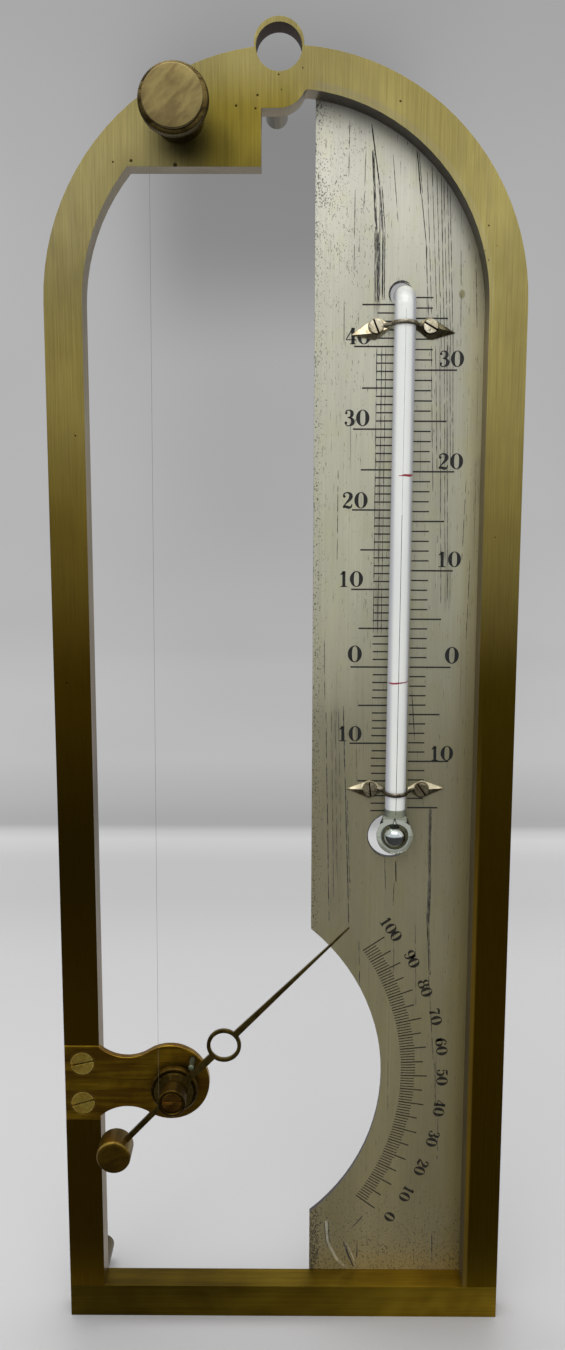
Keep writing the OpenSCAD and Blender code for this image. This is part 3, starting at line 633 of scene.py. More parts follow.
def silvered_plate():
    """Silvered brass: pale at the top, yellowed and darker lower down (partly painted reflection), with painted
    shade near the frame, dull smears, hairline scratches and specks.
    """
    g = Graph("silvered_plate")
    # Darker and yellower lower down: partly the silvering's own tone, partly a painted reflection
    tone = g.ramp(g.z, [(-273, rgb(151, 141, 105)), (-200, rgb(158, 150, 116)), (-130, rgb(155, 150, 122)),
                        (-60, rgb(190, 189, 167)), (-10, rgb(198, 197, 179)), (45, rgb(213, 211, 196))])
    # Painted shadow and reflection of the right bar: the plate darkens towards it, most in a strip beside it
    bar_shade_strip = g.band(g.x, 43, 50.5, 1.0, g.band(g.z, -100, -60, 0.8, 0.87))
    right = g.mul(g.band(g.x, 8, 56, 1.03, 0.86), bar_shade_strip)
    lower = g.mul(g.band(g.x, 26, 14), g.band(g.z, -98, -108, 0.0, 0.12))
    cloud = g.noise((0.09, 0.09, 0.02), 4, 0.6, 4)
    # Tarnish and painted shade in the corner under the arch
    corner = g.mul(g.band(g.reach(), 46.5, 50.5), g.band(g.z, -10, 12, 0.0, 0.5))
    level = g.mul(g.minus(right, lower), g.vary(cloud, 0.9, 1.08), g.minus(1.0, corner))
    brushed = g.noise((5, 1, 0.03), 3, 0.7, 1)
    colour = g.times(g.times(tone, level), g.vary(brushed, 0.91, 1.07))
    yellow = g.band(g.noise((0.2, 0.2, 0.12), 3, 0.6, 51), 0.5, 0.68, 0.0, 0.5)
    colour = g.tint(yellow, colour, (0.98, 0.98, 0.84))
    # Painted shade and painted reflection of the bar: the strip beside the right bar is browner
    colour = g.tint(g.band(g.x, 43, 50), colour, (1.14, 1.07, 0.82))
    for x, half, top, foot, gain in SMEARS:
        span = g.mul(g.band(g.z, top + 2, top - 2), g.band(g.z, foot - 3, foot + 3))
        grain = g.band(g.noise((1.6, 1, 0.06), 3, 0.7, x), 0.35, 0.6)
        smear = g.mul(g.hump(g.x, x, half * 0.4, half), span, grain, gain)
        colour = g.mix(smear, colour, rgb(46, 44, 48))
    lines = g.band(g.noise((1.9, 1, 0.012), 2, 0.75, 8), 0.68, 0.71, 0.0, 0.7)
    short = g.band(g.noise((3.4, 1, 0.28), 3, 0.65, 31), 0.655, 0.69, 0.0, 0.8)
    scratch = g.mul(g.most(lines, short), g.band(g.z, -170, -20, 0.45, 1.0))
    # Specks where the silvering has gone: most at the upper left, along the left edge and at the foot
    specks = g.noise((2.6, 1, 1.9), 3, 0.7, 41)
    patch = g.band(g.noise((0.11, 0.1, 0.07), 2, 0.5, 61), 0.4, 0.62)
    upper = g.mul(g.band(g.x, 25, 8), g.band(g.z, -12, 20), g.plus(g.mul(patch, 0.085), 0.09))
    edge = g.band(g.x, PLATE_LEFT + 0.2, PLATE_LEFT + 5, 0.13, 0.0)
    cut = g.minus(g.minus(0.70, g.most(upper, edge)), g.band(g.z, -264, -228, 0.12, 0.0))
    mark = g.most(scratch, g.mul(g.band(g.minus(specks, cut), 0.0, 0.03), 0.9))
    colour = g.mix(g.mul(mark, 0.86), colour, rgb(38, 36, 40))
    stain = g.vector("DISTANCE", g.vector("MULTIPLY", g.pos, (1, 0, 0.7)), (44.4, 0, 1.8))
    colour = g.mix(g.band(stain, 0.5, 1.0, 0.7, 0.0), colour, rgb(120, 112, 60))
    rough = g.plus(g.vary(brushed, 0.42, 0.52), g.mul(mark, 0.2))
    # Painted shade on the plate's edge faces, which also lose their metal sheen
    rim = g.edge_on(0.3, 0.8)
    return g.done(g.mix(rim, colour, rgb(52, 48, 50)), rough, g.band(rim, 0.0, 1.0, 0.55, 0.0, False),
                  g.bump(g.minus(g.mul(brushed, 0.4), mark), 0.3, 0.04))


def two_tone(name, noise, cut, light, dark, rough, bump_mm=None, metallic=0.0):
    """One colour that gives way to another where the noise passes the cut."""
    g = Graph(name)
    worn = g.noise(*noise)
    colour = g.mix(g.band(worn, *cut), rgb(*light), rgb(*dark))
    return g.done(colour, g.vary(worn, *rough), metallic, bump_mm and g.bump(worn, 0.2, bump_mm))


def ink(name, full, thin):
    return two_tone(name, ((2.2, 1, 2.2), 3, 0.6), (0.52, 0.74), full, thin, (0.45, 0.65), 0.02)


def opal_glass():
    """White glass of the stem, with faint unevenness under its clear skin and painted shade down its sides."""
    g = Graph("opal_glass")
    drift = g.noise((0.15, 0.15, 0.02), 2, 0.5)
    # Painted shade: the stem greys towards its left and right sides
    side = g.band(g.size(g.minus(g.x, TUBE[0])), 1.4, 2.5)
    colour = g.mix(g.band(drift, 0.3, 0.7), rgb(238, 240, 235), rgb(230, 233, 230))
    colour = g.mix(g.mul(side, 0.75), colour, rgb(176, 178, 190))
    return g.done(colour, g.vary(drift, 0.07, 0.12), 0.0, IOR=1.5, Coat_Weight=0.6, Coat_Roughness=0.03)


def clear_glass():
    """Glass of the bulb, clear before the mercury, with painted shade greying the glass round it."""
    g = Graph("clear_glass")
    drift = g.noise((0.3, 0.3, 0.3), 2, 0.5)
    colour = g.mix(g.band(drift, 0.3, 0.7), rgb(244, 248, 244), rgb(236, 242, 238))
    # Painted shade: the glass round the mercury is greyed
    colour = g.mix(g.band(g.away(BULB_AT[0], BULB_Z), 3.0, 3.7), colour, rgb(168, 173, 154))
    return g.done(colour, g.vary(drift, 0.0, 0.03), 0.0, IOR=1.17, Transmission_Weight=1.0)


def clip_nickel(name, light, dark, slot=None, rims=()):
    """Thin nickel over brass, worn yellow in clouds and dark in small random patches; slot is the depth d past which
    painted shade blackens a screw's slot, and rims are the (x, z) of screws whose heads are ringed with painted
    shadow."""
    g = Graph(name)
    cloud = g.noise((0.35, 0.35, 0.35), 4, 0.6, 5)
    fine = g.noise((2.5, 2.5, 2.5), 3, 0.6, 9)
    colour = g.mix(g.band(cloud, 0.36, 0.66), rgb(*light), rgb(*dark))
    colour = g.times(colour, g.vary(fine, 0.82, 1.1))
    hollow = g.band(g.noise((1.1, 1.1, 1.1), 3, 0.6, 14), 0.58, 0.70)
    colour = g.mix(g.mul(hollow, 0.65), colour, rgb(78, 68, 52))
    # Painted shade in the screws' slots
    if slot is not None:
        colour = g.mix(g.band(g.d, slot, slot + 0.15), colour, rgb(40, 34, 26))
    # Painted shadow ringing the screw heads
    for x, z in rims:
        away = g.away(x, z)
        rim = g.mul(g.band(away, HEAD_R - 0.2, HEAD_R), g.band(away, HEAD_R + 0.3, HEAD_R + 0.15))
        colour = g.mix(g.mul(rim, 0.8), colour, rgb(58, 50, 34))
    return g.done(colour, g.vary(fine, 0.24, 0.42), 1.0, g.bump(fine, 0.3, 0.05))


# Bracket screws: x, z and head radius. Painted shadow rings their heads on the bracket and on the heads, and painted
# shade blackens their slots
BRACKET_SCREWS = [(-54.95, HUB[1] + rise, 3.2) for rise in (5.75, -5.75)]
WEIGHT_AT = polar(23.5, REST + math.pi + math.radians(1.7), HUB)
UPPER_SCREWS, LOWER_SCREWS = ([(TUBE[0] + side * 6.9, CLIP_Z[where]) for side in (-1, 1)] for where in CLIP_Z)
M_FRAME = frame_brass()
# The base: painted shade darkens its left end, painted light brightens its right end and its top face
M_BASE = grained_brass("base_brass", (130, 108, 28), (102, 81, 17), (0.03, 0.6, 2.2), (0.34, 0.46), 0.35, 0.03,
                       shade=((-60, 0.36), (-20, 0.46), (10, 0.74), (40, 1.36), (60, 1.45)), ledge=1.5)
M_FOOT = turned_brass("foot_brass", (128, 118, 88), (78, 70, 52), (-2.5, 49.05))
M_PLATE = silvered_plate()
# Dark scratch ink, which also draws painted shade at the hole edges and along the dent
M_SCRATCH_AND_SHADE = two_tone("scratch", ((2.4, 1, 0.9), 3, 0.65), (0.46, 0.66), (34, 31, 36), (104, 102, 92), (0.5, 0.7),
                     0.02)
# Painted highlight on the floor of the dent at the foot of the plate
M_DENT_HIGHLIGHT = two_tone("dent_highlight_silver", ((0.5, 0.5, 0.35), 3, 0.6, 3), (0.38, 0.66), (190, 186, 168), (142, 137, 116),
                  (0.34, 0.5), 0.03, 0.5)
M_BRACKET = grained_brass("bracket_brass", (190, 152, 42), (134, 102, 28), (0.05, 0.6, 1.7), (0.3, 0.44), 0.35,
                          0.07, 0.35, bands=(124, 90, 30), heads=BRACKET_SCREWS)
M_SCREW = screw_brass("screw_brass", (204, 182, 112), (156, 132, 66))
M_BIG_SCREW = screw_brass("bracket_screw_brass", (255, 226, 110), (226, 188, 82), slot=0.16, heads=BRACKET_SCREWS)
# Stop pin: painted shade blackens its shank behind the tip, which stays the only bright part
M_PIN = screw_brass("pin_brass", (176, 190, 160), (132, 140, 110), 0.44, slot=-5.12)
M_DRUM = turned_brass("drum_brass", (78, 60, 20), (38, 27, 9), HUB, (0.38, 0.52))
M_PIVOT = turned_brass("pivot_brass", (152, 112, 46), (92, 64, 26), HUB, lean=0.5)
M_POINTER = grained_brass("pointer_brass", (132, 114, 58), (88, 73, 34), (0.7, 0.5, 0.7), (0.26, 0.4), 0.2, 0.2, 0.3)
M_WEIGHT = turned_brass("weight_brass", (126, 104, 46), (86, 66, 28), WEIGHT_AT, (0.36, 0.5), lean=0.4)
M_WEIGHT_END = turned_brass("weight_end_brass", (108, 84, 26), (76, 57, 16), WEIGHT_AT, (0.44, 0.58), lean=0.4)
M_KNOB = turned_brass("knob_brass", (126, 113, 72), (106, 92, 60), KNOB, (0.36, 0.5), 0.7, 0.05, 0.03, 0.75)
M_KNURL = turned_brass("knurl_brass", (96, 82, 46), (40, 32, 16), KNOB)
M_OPAL = opal_glass()
M_GLASS = clear_glass()
M_MERCURY = two_tone("liquid_metal", ((0.5, 0.5, 0.5), 2, 0.5), (0.35, 0.65), (214, 216, 220), (186, 189, 194),
                     (0.04, 0.12), None, 1.0)
# The upper clip's leaves are one nickel in two copies: painted light on the left leaf, painted shade on the right
M_LEAF_LIT = clip_nickel("leaf_lit", (226, 216, 184), (176, 164, 132), rims=UPPER_SCREWS[:1])
M_LEAF_SHADED = clip_nickel("leaf_shaded", (140, 131, 102), (100, 92, 68), rims=UPPER_SCREWS[1:])
M_LEAF_WORN = clip_nickel("leaf_worn", (184, 175, 148), (140, 131, 106), rims=LOWER_SCREWS)
M_BAND = clip_nickel("band_nickel", (164, 157, 138), (104, 96, 80))
M_HEAD = clip_nickel("head_nickel", (240, 232, 206), (204, 192, 160), 6.12, UPPER_SCREWS)
M_HEAD_DULL = clip_nickel("head_dull", (206, 196, 164), (156, 146, 116), 6.12)
M_INK = ink("scale_ink", (14, 14, 16), (52, 50, 45))
M_INK_BROWN = ink("arc_ink", (24, 20, 12), (66, 58, 42))
M_RED = two_tone("red_mark", ((2.4, 2.4, 4), 3, 0.6), (0.42, 0.66), (112, 12, 34), (196, 84, 100), (0.35, 0.5), 0.02)
M_HAIR = two_tone("hair", ((1, 1, 0.2), 3, 0.6), (0.35, 0.65), (118, 106, 84), (98, 88, 68), (0.4, 0.55), 0.01)


# ---------------------------------------------------------------- frame, base, plate, bracket

rounded("arch_frame", "arch_casting", M_FRAME, 0.22)
rounded("base_bar", "base_rail", M_BASE, 0.22)
rounded("scale_plate", "dial_plate", M_PLATE, 0.12)
rounded("bearing_bracket", "hub_bracket", M_BRACKET, 0.36, segments=3)
for node, material in (("bracket_screw_upper", M_BIG_SCREW), ("bracket_screw_lower", M_BIG_SCREW),
                       ("stop_pin", M_PIN), ("upper_clip_screws", M_HEAD), ("lower_clip_screws", M_HEAD_DULL)):
    rounded(node, node + "_finished", material, 0.08)
rounded("pivot_screw", "pivot_screw_finished", M_PIVOT, 0.14)
rounded("pointer", "needle", M_POINTER, 0.16, "pointer")

for node, material in (("base_screws", M_SCREW), ("plate_screws", M_SCREW), ("pivot_nut", M_SCREW),
                       ("friction_washer", M_SCREW), ("knob_spindle", M_KNOB), ("spindle_nut", M_KNOB),
                       ("foot_top", M_FOOT), ("foot_left", M_FOOT), ("foot_right", M_FOOT)):
    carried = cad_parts[node].data
    carried.materials.clear()
    carried.materials.append(material)

HAIR_THINNED = 0.025
thinned("hair", "hair_strand", M_HAIR, HAIR_THINNED)


# ---------------------------------------------------------------- pointer, drum, weight, knob


def second_material(piece, material, here):
    """Gives a second material to the faces whose middle passes the test."""
    piece.data.materials.append(material)
    for poly in piece.data.polygons:
        if here(*((poly.center - ORIGIN) * 1000)):
            poly.material_index = 1


lathe("turned_drum", round_profile([
    (2.68, -0.15), (2.68, -1.8), (5.9, -1.8), (6.38, -2.1), (6.38, -3.35), (6.0, -3.72), (5.5, -3.72), (5.3, -3.5),
    (4.5, -3.5), (4.3, -3.79), (3.58, -3.79), (3.58, -9.7), (3.72, -9.9), (3.72, -10.5), (3.5, -10.7), (3.1, -10.7),
    (2.87, -10.45), (2.87, -9.15), (1.56, -9.15), (1.56, -0.16), (2.6, -0.15)], 0.12),
    HUB, M_DRUM, body="pointer", slot="drum_brass", replaces=("hair_drum",))

weight_piece = lathe("turned_weight", round_profile([
    (0, -0.6), (4.05, -0.6), (4.59, -1.0), (4.59, -7.85), (4.3, -8.25), (3.6, -8.38), (0, -8.36)],
    0.3, 4), WEIGHT_AT, M_WEIGHT, body="pointer", slot="weight_brass", replaces=("counterweight",))
second_material(weight_piece, M_WEIGHT_END, lambda x, d, z: d < -8.3)

KNURLS = 104
KNOB_STEPS = KNURLS * 4
KNURL_FOOT, KNURL_DEPTH = 7.7, 0.24
knob_face = round_profile([
    (0, -17.17), (4.5, -17.2), (6.94, -17.16), (7.09, -17.0), (7.09, -16.1), (6.85, -15.9), (6.55, -15.85),
    (6.55, -15.45)], 0.1)
knob_rim = round_profile([(KNURL_FOOT, -15.42), (8.05, -15.3), (8.24, -15.0), (8.24, -12.85), (8.05, -12.5),
                          (KNURL_FOOT, -12.32)], 0.1)
knob_neck = round_profile([
    (6.7, -12.2), (6.2, -11.6), (6.05, -9.0), (6.05, -1.4), (6.2, -0.7), (6.2, -0.15), (2.6, -0.15)], 0.25)
knob_profile = knob_face + knob_rim + knob_neck


def knurl(a, k):
    """Depth of the straight knurl at an angle, on the rim only."""
    share = min(max((knob_profile[k][0] - KNURL_FOOT) / 0.5, 0), 1)
    return share * KNURL_DEPTH * (1 - abs((a * KNURLS / (2 * math.pi)) % 1 * 2 - 1))


knob_piece = lathe("knurled_knob", knob_profile, KNOB, M_KNOB, KNOB_STEPS, knurl, body="knob", slot="knob_brass",
                   replaces=("adjusting_knob",), sharp=50)
second_material(knob_piece, M_KNURL, lambda x, d, z: -16.2 < d < -2.2 and math.dist((x, z), KNOB) > 4)


# ---------------------------------------------------------------- thermometer

stem_path = [(stem_x(z), TUBE[1], z) for z in (-132.4, -131.8, -120, -90, -60, -30, -4)]
for i in range(13):
    a = math.pi / 2 * i / 12
    stem_path.append((stem_x(0), TUBE[1] + TUBE_BEND * (1 - math.cos(a)), TUBE_TOP + TUBE_BEND * (math.sin(a) - 1)))
stem_path.append((stem_x(0), PLATE_FRONT + 1.6, TUBE_TOP))
sweep("opal_stem", stem_path, circle(TUBE_R, 48), M_OPAL, slot="tube_glass", replaces=("thermometer_tube",))


def arc(r, degrees):
    return [polar(r, math.radians(a), (0, BULB_Z)) for a in degrees]


shoulder = [(2.78, -130.4), (2.84, -131.2), (3.05, -132.2), (3.45, -133.3), (3.9, -134.3)]
outer = shoulder + arc(BULB_R, range(34, -86, -6)) + [(0, BULB_Z - BULB_R)]
lathe("glass_bulb", [(0, -132.5), (2.7, -132.4), (2.7, -130.4)] + outer, BULB_AT, M_GLASS, 64, axis="z",
      slot="tube_glass", sharp=80)
MERCURY_R = 3.2
neck = [(0.5, BULB_Z + MERCURY_R + 0.05), (0.22, -133.6), (0.2, -132.55), (0, -132.55)]
lathe("mercury_bulb", [(0, BULB_Z - MERCURY_R)] + arc(MERCURY_R, range(-84, 79, 6)) + neck, BULB_AT, M_MERCURY, 64,
      axis="z", slot="mercury", replaces=("mercury",), sharp=80)
STEM_FRONT = TUBE[1] - TUBE_R
THREAD_TOP = -52.5
sweep("mercury_thread", [(stem_x(z), STEM_FRONT + 0.11, z) for z in (-131.5, -100, THREAD_TOP)], circle(0.13, 10),
      M_INK, slot="mercury")
sweep("empty_bore", [(stem_x(z), STEM_FRONT + 0.07, z) for z in (THREAD_TOP, -30, -1.5)], circle(0.08, 8), M_INK)

# Red strokes of a brush on the stem: (angle from the front, height, half width)
RED_STROKES = [
    [(-24, -42.65, 0.05), (-8, -42.6, 0.13), (8, -42.5, 0.26), (26, -42.55, 0.3), (44, -42.6, 0.34),
     (60, -42.5, 0.16), (76, -42.3, 0.04)],
    [(-66, -96.15, 0.05), (-48, -96.2, 0.2), (-24, -96.2, 0.24), (0, -96.05, 0.2), (26, -95.95, 0.15),
     (52, -95.9, 0.13), (76, -95.6, 0.05)]]
for i, stroke in enumerate(RED_STROKES):
    verts = []
    for angle, z, half in spline(stroke, False, 3):
        a = math.radians(angle)
        for r, dz in ((TUBE_R + 0.03, half), (TUBE_R + 0.03, -half), (TUBE_R - 0.1, -half), (TUBE_R - 0.1, half)):
            verts.append((stem_x(z) + r * math.sin(a), TUBE[1] - r * math.cos(a), z + dz))
    make("red_mark_%d" % i, verts, tube_faces(len(verts) // 4, 4), M_RED)


# ---------------------------------------------------------------- clips


def clip(where, bow, leaves):
    """A sprung band over the stem, raised by bow at its middle, with a crowned leaf at each end."""
    z = CLIP_Z[where]
    middle = stem_x(z)
    band_r = TUBE_R + 0.32
    rise = [(6.0, 7.12), (4.8, 6.95), (3.9, 6.5), (3.35, 5.95)]
    line = [(TUBE[0] + x, d) for x, d in rise]
    for i in range(-15, 196, 10):
        a = math.radians(i)
        line.append((middle + band_r * math.cos(a), TUBE[1] - band_r * math.sin(a)))
    line += [(TUBE[0] - x, d) for x, d in rise[::-1]]
    path = [(x, d, z + bow * max(0.0, 1 - ((x - TUBE[0]) / 5.6) ** 2)) for x, d in line]
    sweep(where + "_clip_band", path, oval(0.56, 0.25, 16), M_BAND, (0, 0, 1), slot="clip_metal",
          replaces=(where + "_clip",))
    for (side, s), (droop, belly, ridge, material) in zip((("left", -1), ("right", 1)), leaves):
        leaf(where + "_clip_leaf_" + side, z, s, droop, belly, ridge, material)


def leaf(name, z, s, droop, belly, ridge, material):
    """A pointed leaf with turned-down edges. Its tip hangs by droop times its length, its lower half is belly
    times the upper, and its ridge lies a share of the way up."""
    along = [(3.25, 0.5), (3.9, 0.8), (4.7, 1.3), (5.8, 1.98), (6.9, 2.33), (7.5, 2.22), (8.8, 1.72), (10.2, 1.15),
             (11.6, 0.6), (12.6, 0.25), (13.05, 0.1)]
    across = [-1, -0.97, -0.85, -0.6, -0.35, -0.14, 0, 0.14, 0.35, 0.6, 0.85, 0.97, 1]
    verts, faces, edge = [], [], []
    n = len(across)
    for x, half in along:
        level = z - droop * max(0.0, x - 6.6)
        top, foot = level + half, level - half * belly
        spine = foot + ridge * (top - foot)
        crown = 0.2 + 0.62 * min(half / 2.2, 1)
        for t in across:
            up = crown * (1 - abs(t) ** 1.05) + (0.12 if abs(t) < 0.99 else 0)
            height = spine + t * (top - spine if t > 0 else spine - foot)
            verts.append((TUBE[0] + s * x, PLATE_FRONT - 0.2 - up, height))
        edge += [(TUBE[0] + s * x, PLATE_FRONT, foot), (TUBE[0] + s * x, PLATE_FRONT, top)]
    base = len(verts)
    verts += edge
    m = len(along)
    for i in range(m - 1):
        row, ahead, low, low_ahead = i * n, (i + 1) * n, base + 2 * i, base + 2 * i + 2
        faces += [[row + j, row + j + 1, ahead + j + 1, ahead + j] for j in range(n - 1)]
        faces += [[row, ahead, low_ahead, low], [row + n - 1, low + 1, low_ahead + 1, ahead + n - 1],
                  [low, low_ahead, low_ahead + 1, low + 1]]
    last = (m - 1) * n
    faces.append([*range(n), base + 1, base])
    faces.append([*range(last, last + n)[::-1], base + 2 * (m - 1), base + 2 * (m - 1) + 1])
    make(name, verts, faces, material, slot="clip_metal", sharp=28)


clip("upper", 0.7, ((0.33, 1.36, 0.3, M_LEAF_LIT), (0.24, 1.36, 0.6, M_LEAF_SHADED)))
clip("lower", -0.45, ((0.0, 1.1, 0.52, M_LEAF_WORN), (-0.04, 1.1, 0.52, M_LEAF_WORN)))


# ---------------------------------------------------------------- scales

ZERO_Z = -92.7
thermometer = Ink(0.03)


def ladder(per_degree, low, high, inner, unit, five, ten):
    """Degree lines between two readings, from inner out to the three lengths."""
    for k in range(low, high + 1):
        outer = ten if k % 10 == 0 else five if k % 5 == 0 else unit
        z = ZERO_Z + k * per_degree
        wobble = random.uniform(-0.14, 0.14)
        thermometer.bar((inner, z), (outer + wobble, z + random.uniform(-0.03, 0.03)), 0.35 if k % 5 else 0.4)


ladder(2.060, -19, 45, 27.5, 23.1, 19.45, 17.2)
ladder(2.552, -15, 37, 32.9, 37.2, 41.1, 43.6)
for k, x, z in ((40, 18.2, -7.7), (30, 18.0, -28.1), (20, 17.8, -49.0), (10, 17.1, -69.4), (0, 18.4, -89.2),
                (-10, 17.2, -110.7), (30, 41.9, -13.3), (20, 42.3, -39.0), (10, 42.6, -64.2), (0, 44.0, -89.5),
                (-10, 41.8, -116.0)):
    height = 4.4 if k == 0 else 4.1 if x < TUBE[0] else 4.0
    number(thermometer, str(abs(k)), (x, z), height, 0, 0.8 if k == 40 else 0.86, 1.4)
thermometer.piece("thermometer_scale", M_INK)

humidity = Ink(0.03)
DRY, WET = math.radians(-37.0), math.radians(34.55)
for k in range(101):
    a = DRY + (WET - DRY) * k / 100
    far = 69.3 if k % 10 == 0 else 68.4 if k % 5 == 0 else 66.0
    near = 62.1 + 1.2 * max(0, 0.5 - k / 100)
    humidity.bar(polar(near, a, HUB), polar(far + random.uniform(-0.15, 0.15), a, HUB), 0.25 if k % 5 else 0.32)
for k, x, z in ((100, 29.2, -165.3), (90, 35.0, -173.9), (80, 38.8, -182.3), (70, 41.8, -190.6), (60, 43.7, -199.5),
                (50, 44.1, -208.5), (40, 43.5, -217.8), (30, 41.9, -227.0), (20, 38.8, -235.8), (10, 34.8, -244.0),
                (0, 30.1, -251.2)):
    number(humidity, str(k), (x, z), 3.1, math.radians(-36.7 + 0.7136 * k) - math.pi / 2, 0.82, 1.6)
humidity.piece("humidity_scale", M_INK_BROWN)

# Long scratches along the plate: x and z of both ends, half width, and how much of the line is left
SCRATCHES = [
    (21.2, 43.1, 23.4, 28.5, 0.14, 0.9), (23.4, 28.5, 24.4, 17.6, 0.24, 0.9), (24.4, 17.6, 24.5, 1.1, 0.26, 0.9),
    (21.5, 37.0, 22.6, 17.6, 0.18, 0.6), (22.6, 17.6, 22.9, 0.6, 0.36, 0.7), (23.4, 25.2, 23.7, 2.1, 0.1, 0.9),
    (32.6, 37.0, 33.7, 26.6, 0.15, 1.0), (33.7, 26.6, 35.1, 15.2, 0.11, 1.0), (35.1, 15.2, 36.0, -2.8, 0.1, 0.8),
    (35.1, 31.9, 36.8, -2.3, 0.06, 0.7), (36.2, 33.3, 38.5, -8.7, 0.06, 0.75), (37.4, 32.3, 39.5, -11.1, 0.06, 0.8),
    (38.5, 31.4, 40.3, -11.6, 0.08, 0.9), (39.2, 30.4, 41.1, -12.1, 0.06, 0.7), (40.1, 29.5, 41.9, -12.1, 0.05, 0.7),
    (40.8, 27.6, 42.5, -12.1, 0.07, 0.75), (36.9, -10.2, 38.1, -46.8, 0.07, 0.85),
    (38.0, -9.9, 39.0, -41.2, 0.05, 0.6), (39.1, -9.9, 40.8, -76.2, 0.06, 0.7), (40.2, -9.9, 41.6, -64.4, 0.06, 0.7),
    (40.9, -9.9, 42.5, -74.8, 0.07, 0.8), (41.6, -9.9, 42.5, -41.2, 0.05, 0.6), (42.4, -9.9, 43.1, -39.9, 0.06, 0.7),
    (26.5, 36.1, 28.0, 20.0, 0.05, 0.6), (17.2, 27.6, 17.1, 6.9, 0.05, 0.5), (43.9, 13.3, 44.3, -6.2, 0.06, 0.5),
    (47.6, 12.3, 48.4, -5.7, 0.05, 0.5), (14.7, 1.1, 14.8, -9.9, 0.05, 0.5), (19.8, 37.0, 19.4, 22.8, 0.04, 0.5),
    (15.7, 44.0, 15.6, 29.9, 0.04, 0.4), (23.1, -10.2, 23.2, -83.9, 0.08, 0.9),
    (24.4, -10.2, 24.3, -83.9, 0.09, 0.9), (25.4, -10.2, 25.3, -83.9, 0.07, 0.85),
    (10.9, -104.8, 12.2, -163.1, 0.09, 0.6), (12.4, -104.6, 13.4, -157.1, 0.05, 0.5),
    (13.3, -104.0, 14.3, -151.4, 0.05, 0.5), (15.5, -103.2, 17.6, -163.9, 0.11, 0.9),
    (16.8, -128.9, 17.9, -157.1, 0.07, 0.5), (14.2, -104.0, 15.3, -145.7, 0.05, 0.4),
    (39.3, -131.1, 39.4, -150.4, 0.2, 0.7), (39.4, -150.4, 39.1, -164.1, 0.26, 0.75),
    (29.9, -145.9, 30.1, -151.9, 0.18, 0.9), (27.1, -144.6, 27.5, -154.2, 0.06, 0.7),
    (29.8, -151.9, 29.6, -158.4, 0.07, 0.6), (33.6, -99.6, 34.6, -112.4, 0.1, 0.9),
    (18.9, -107.5, 19.4, -124.0, 0.05, 0.7), (39.2, -164.1, 40.0, -178.5, 0.14, 0.6),
    (39.7, -178.8, 41.6, -205.0, 0.07, 0.6), (35.7, -163.8, 36.4, -187.3, 0.06, 0.6),
    (29.9, -166.7, 30.1, -178.0, 0.05, 0.6), (20.4, -168.5, 20.7, -181.5, 0.08, 0.5),
    (42.0, -203.5, 42.4, -220.6, 0.07, 0.6), (43.2, -220.6, 43.2, -233.6, 0.06, 0.5),
    (28.9, -203.6, 29.1, -218.5, 0.05, 0.5), (42.2, -256.2, 42.4, -265.3, 0.1, 0.6),
    (37.2, -261.5, 37.3, -266.6, 0.06, 0.6), (10.3, -85.5, 10.6, -101.6, 0.05, 0.4),
    (46.6, -43.7, 46.0, -64.4, 0.05, 0.4), (48.1, -64.4, 47.6, -85.4, 0.05, 0.35),
    (13.6, -41.3, 13.5, -64.5, 0.04, 0.35)]


def tick(ink, x, z, length, lean, half, start, end):
    """A short mark downwards, tapered to shares of its half width at both ends."""
    ink.ribbon([(x, z, half * start), (x + lean * length / 2, z - length / 2, half),
                (x + lean * length, z - length, half * end)])


# The small marks keep this far from the arch's centre, from the pointer's axis and from the stem
ARCH_LIMIT, HUB_LIMIT, STEM_LIMIT = 48, 58, 3


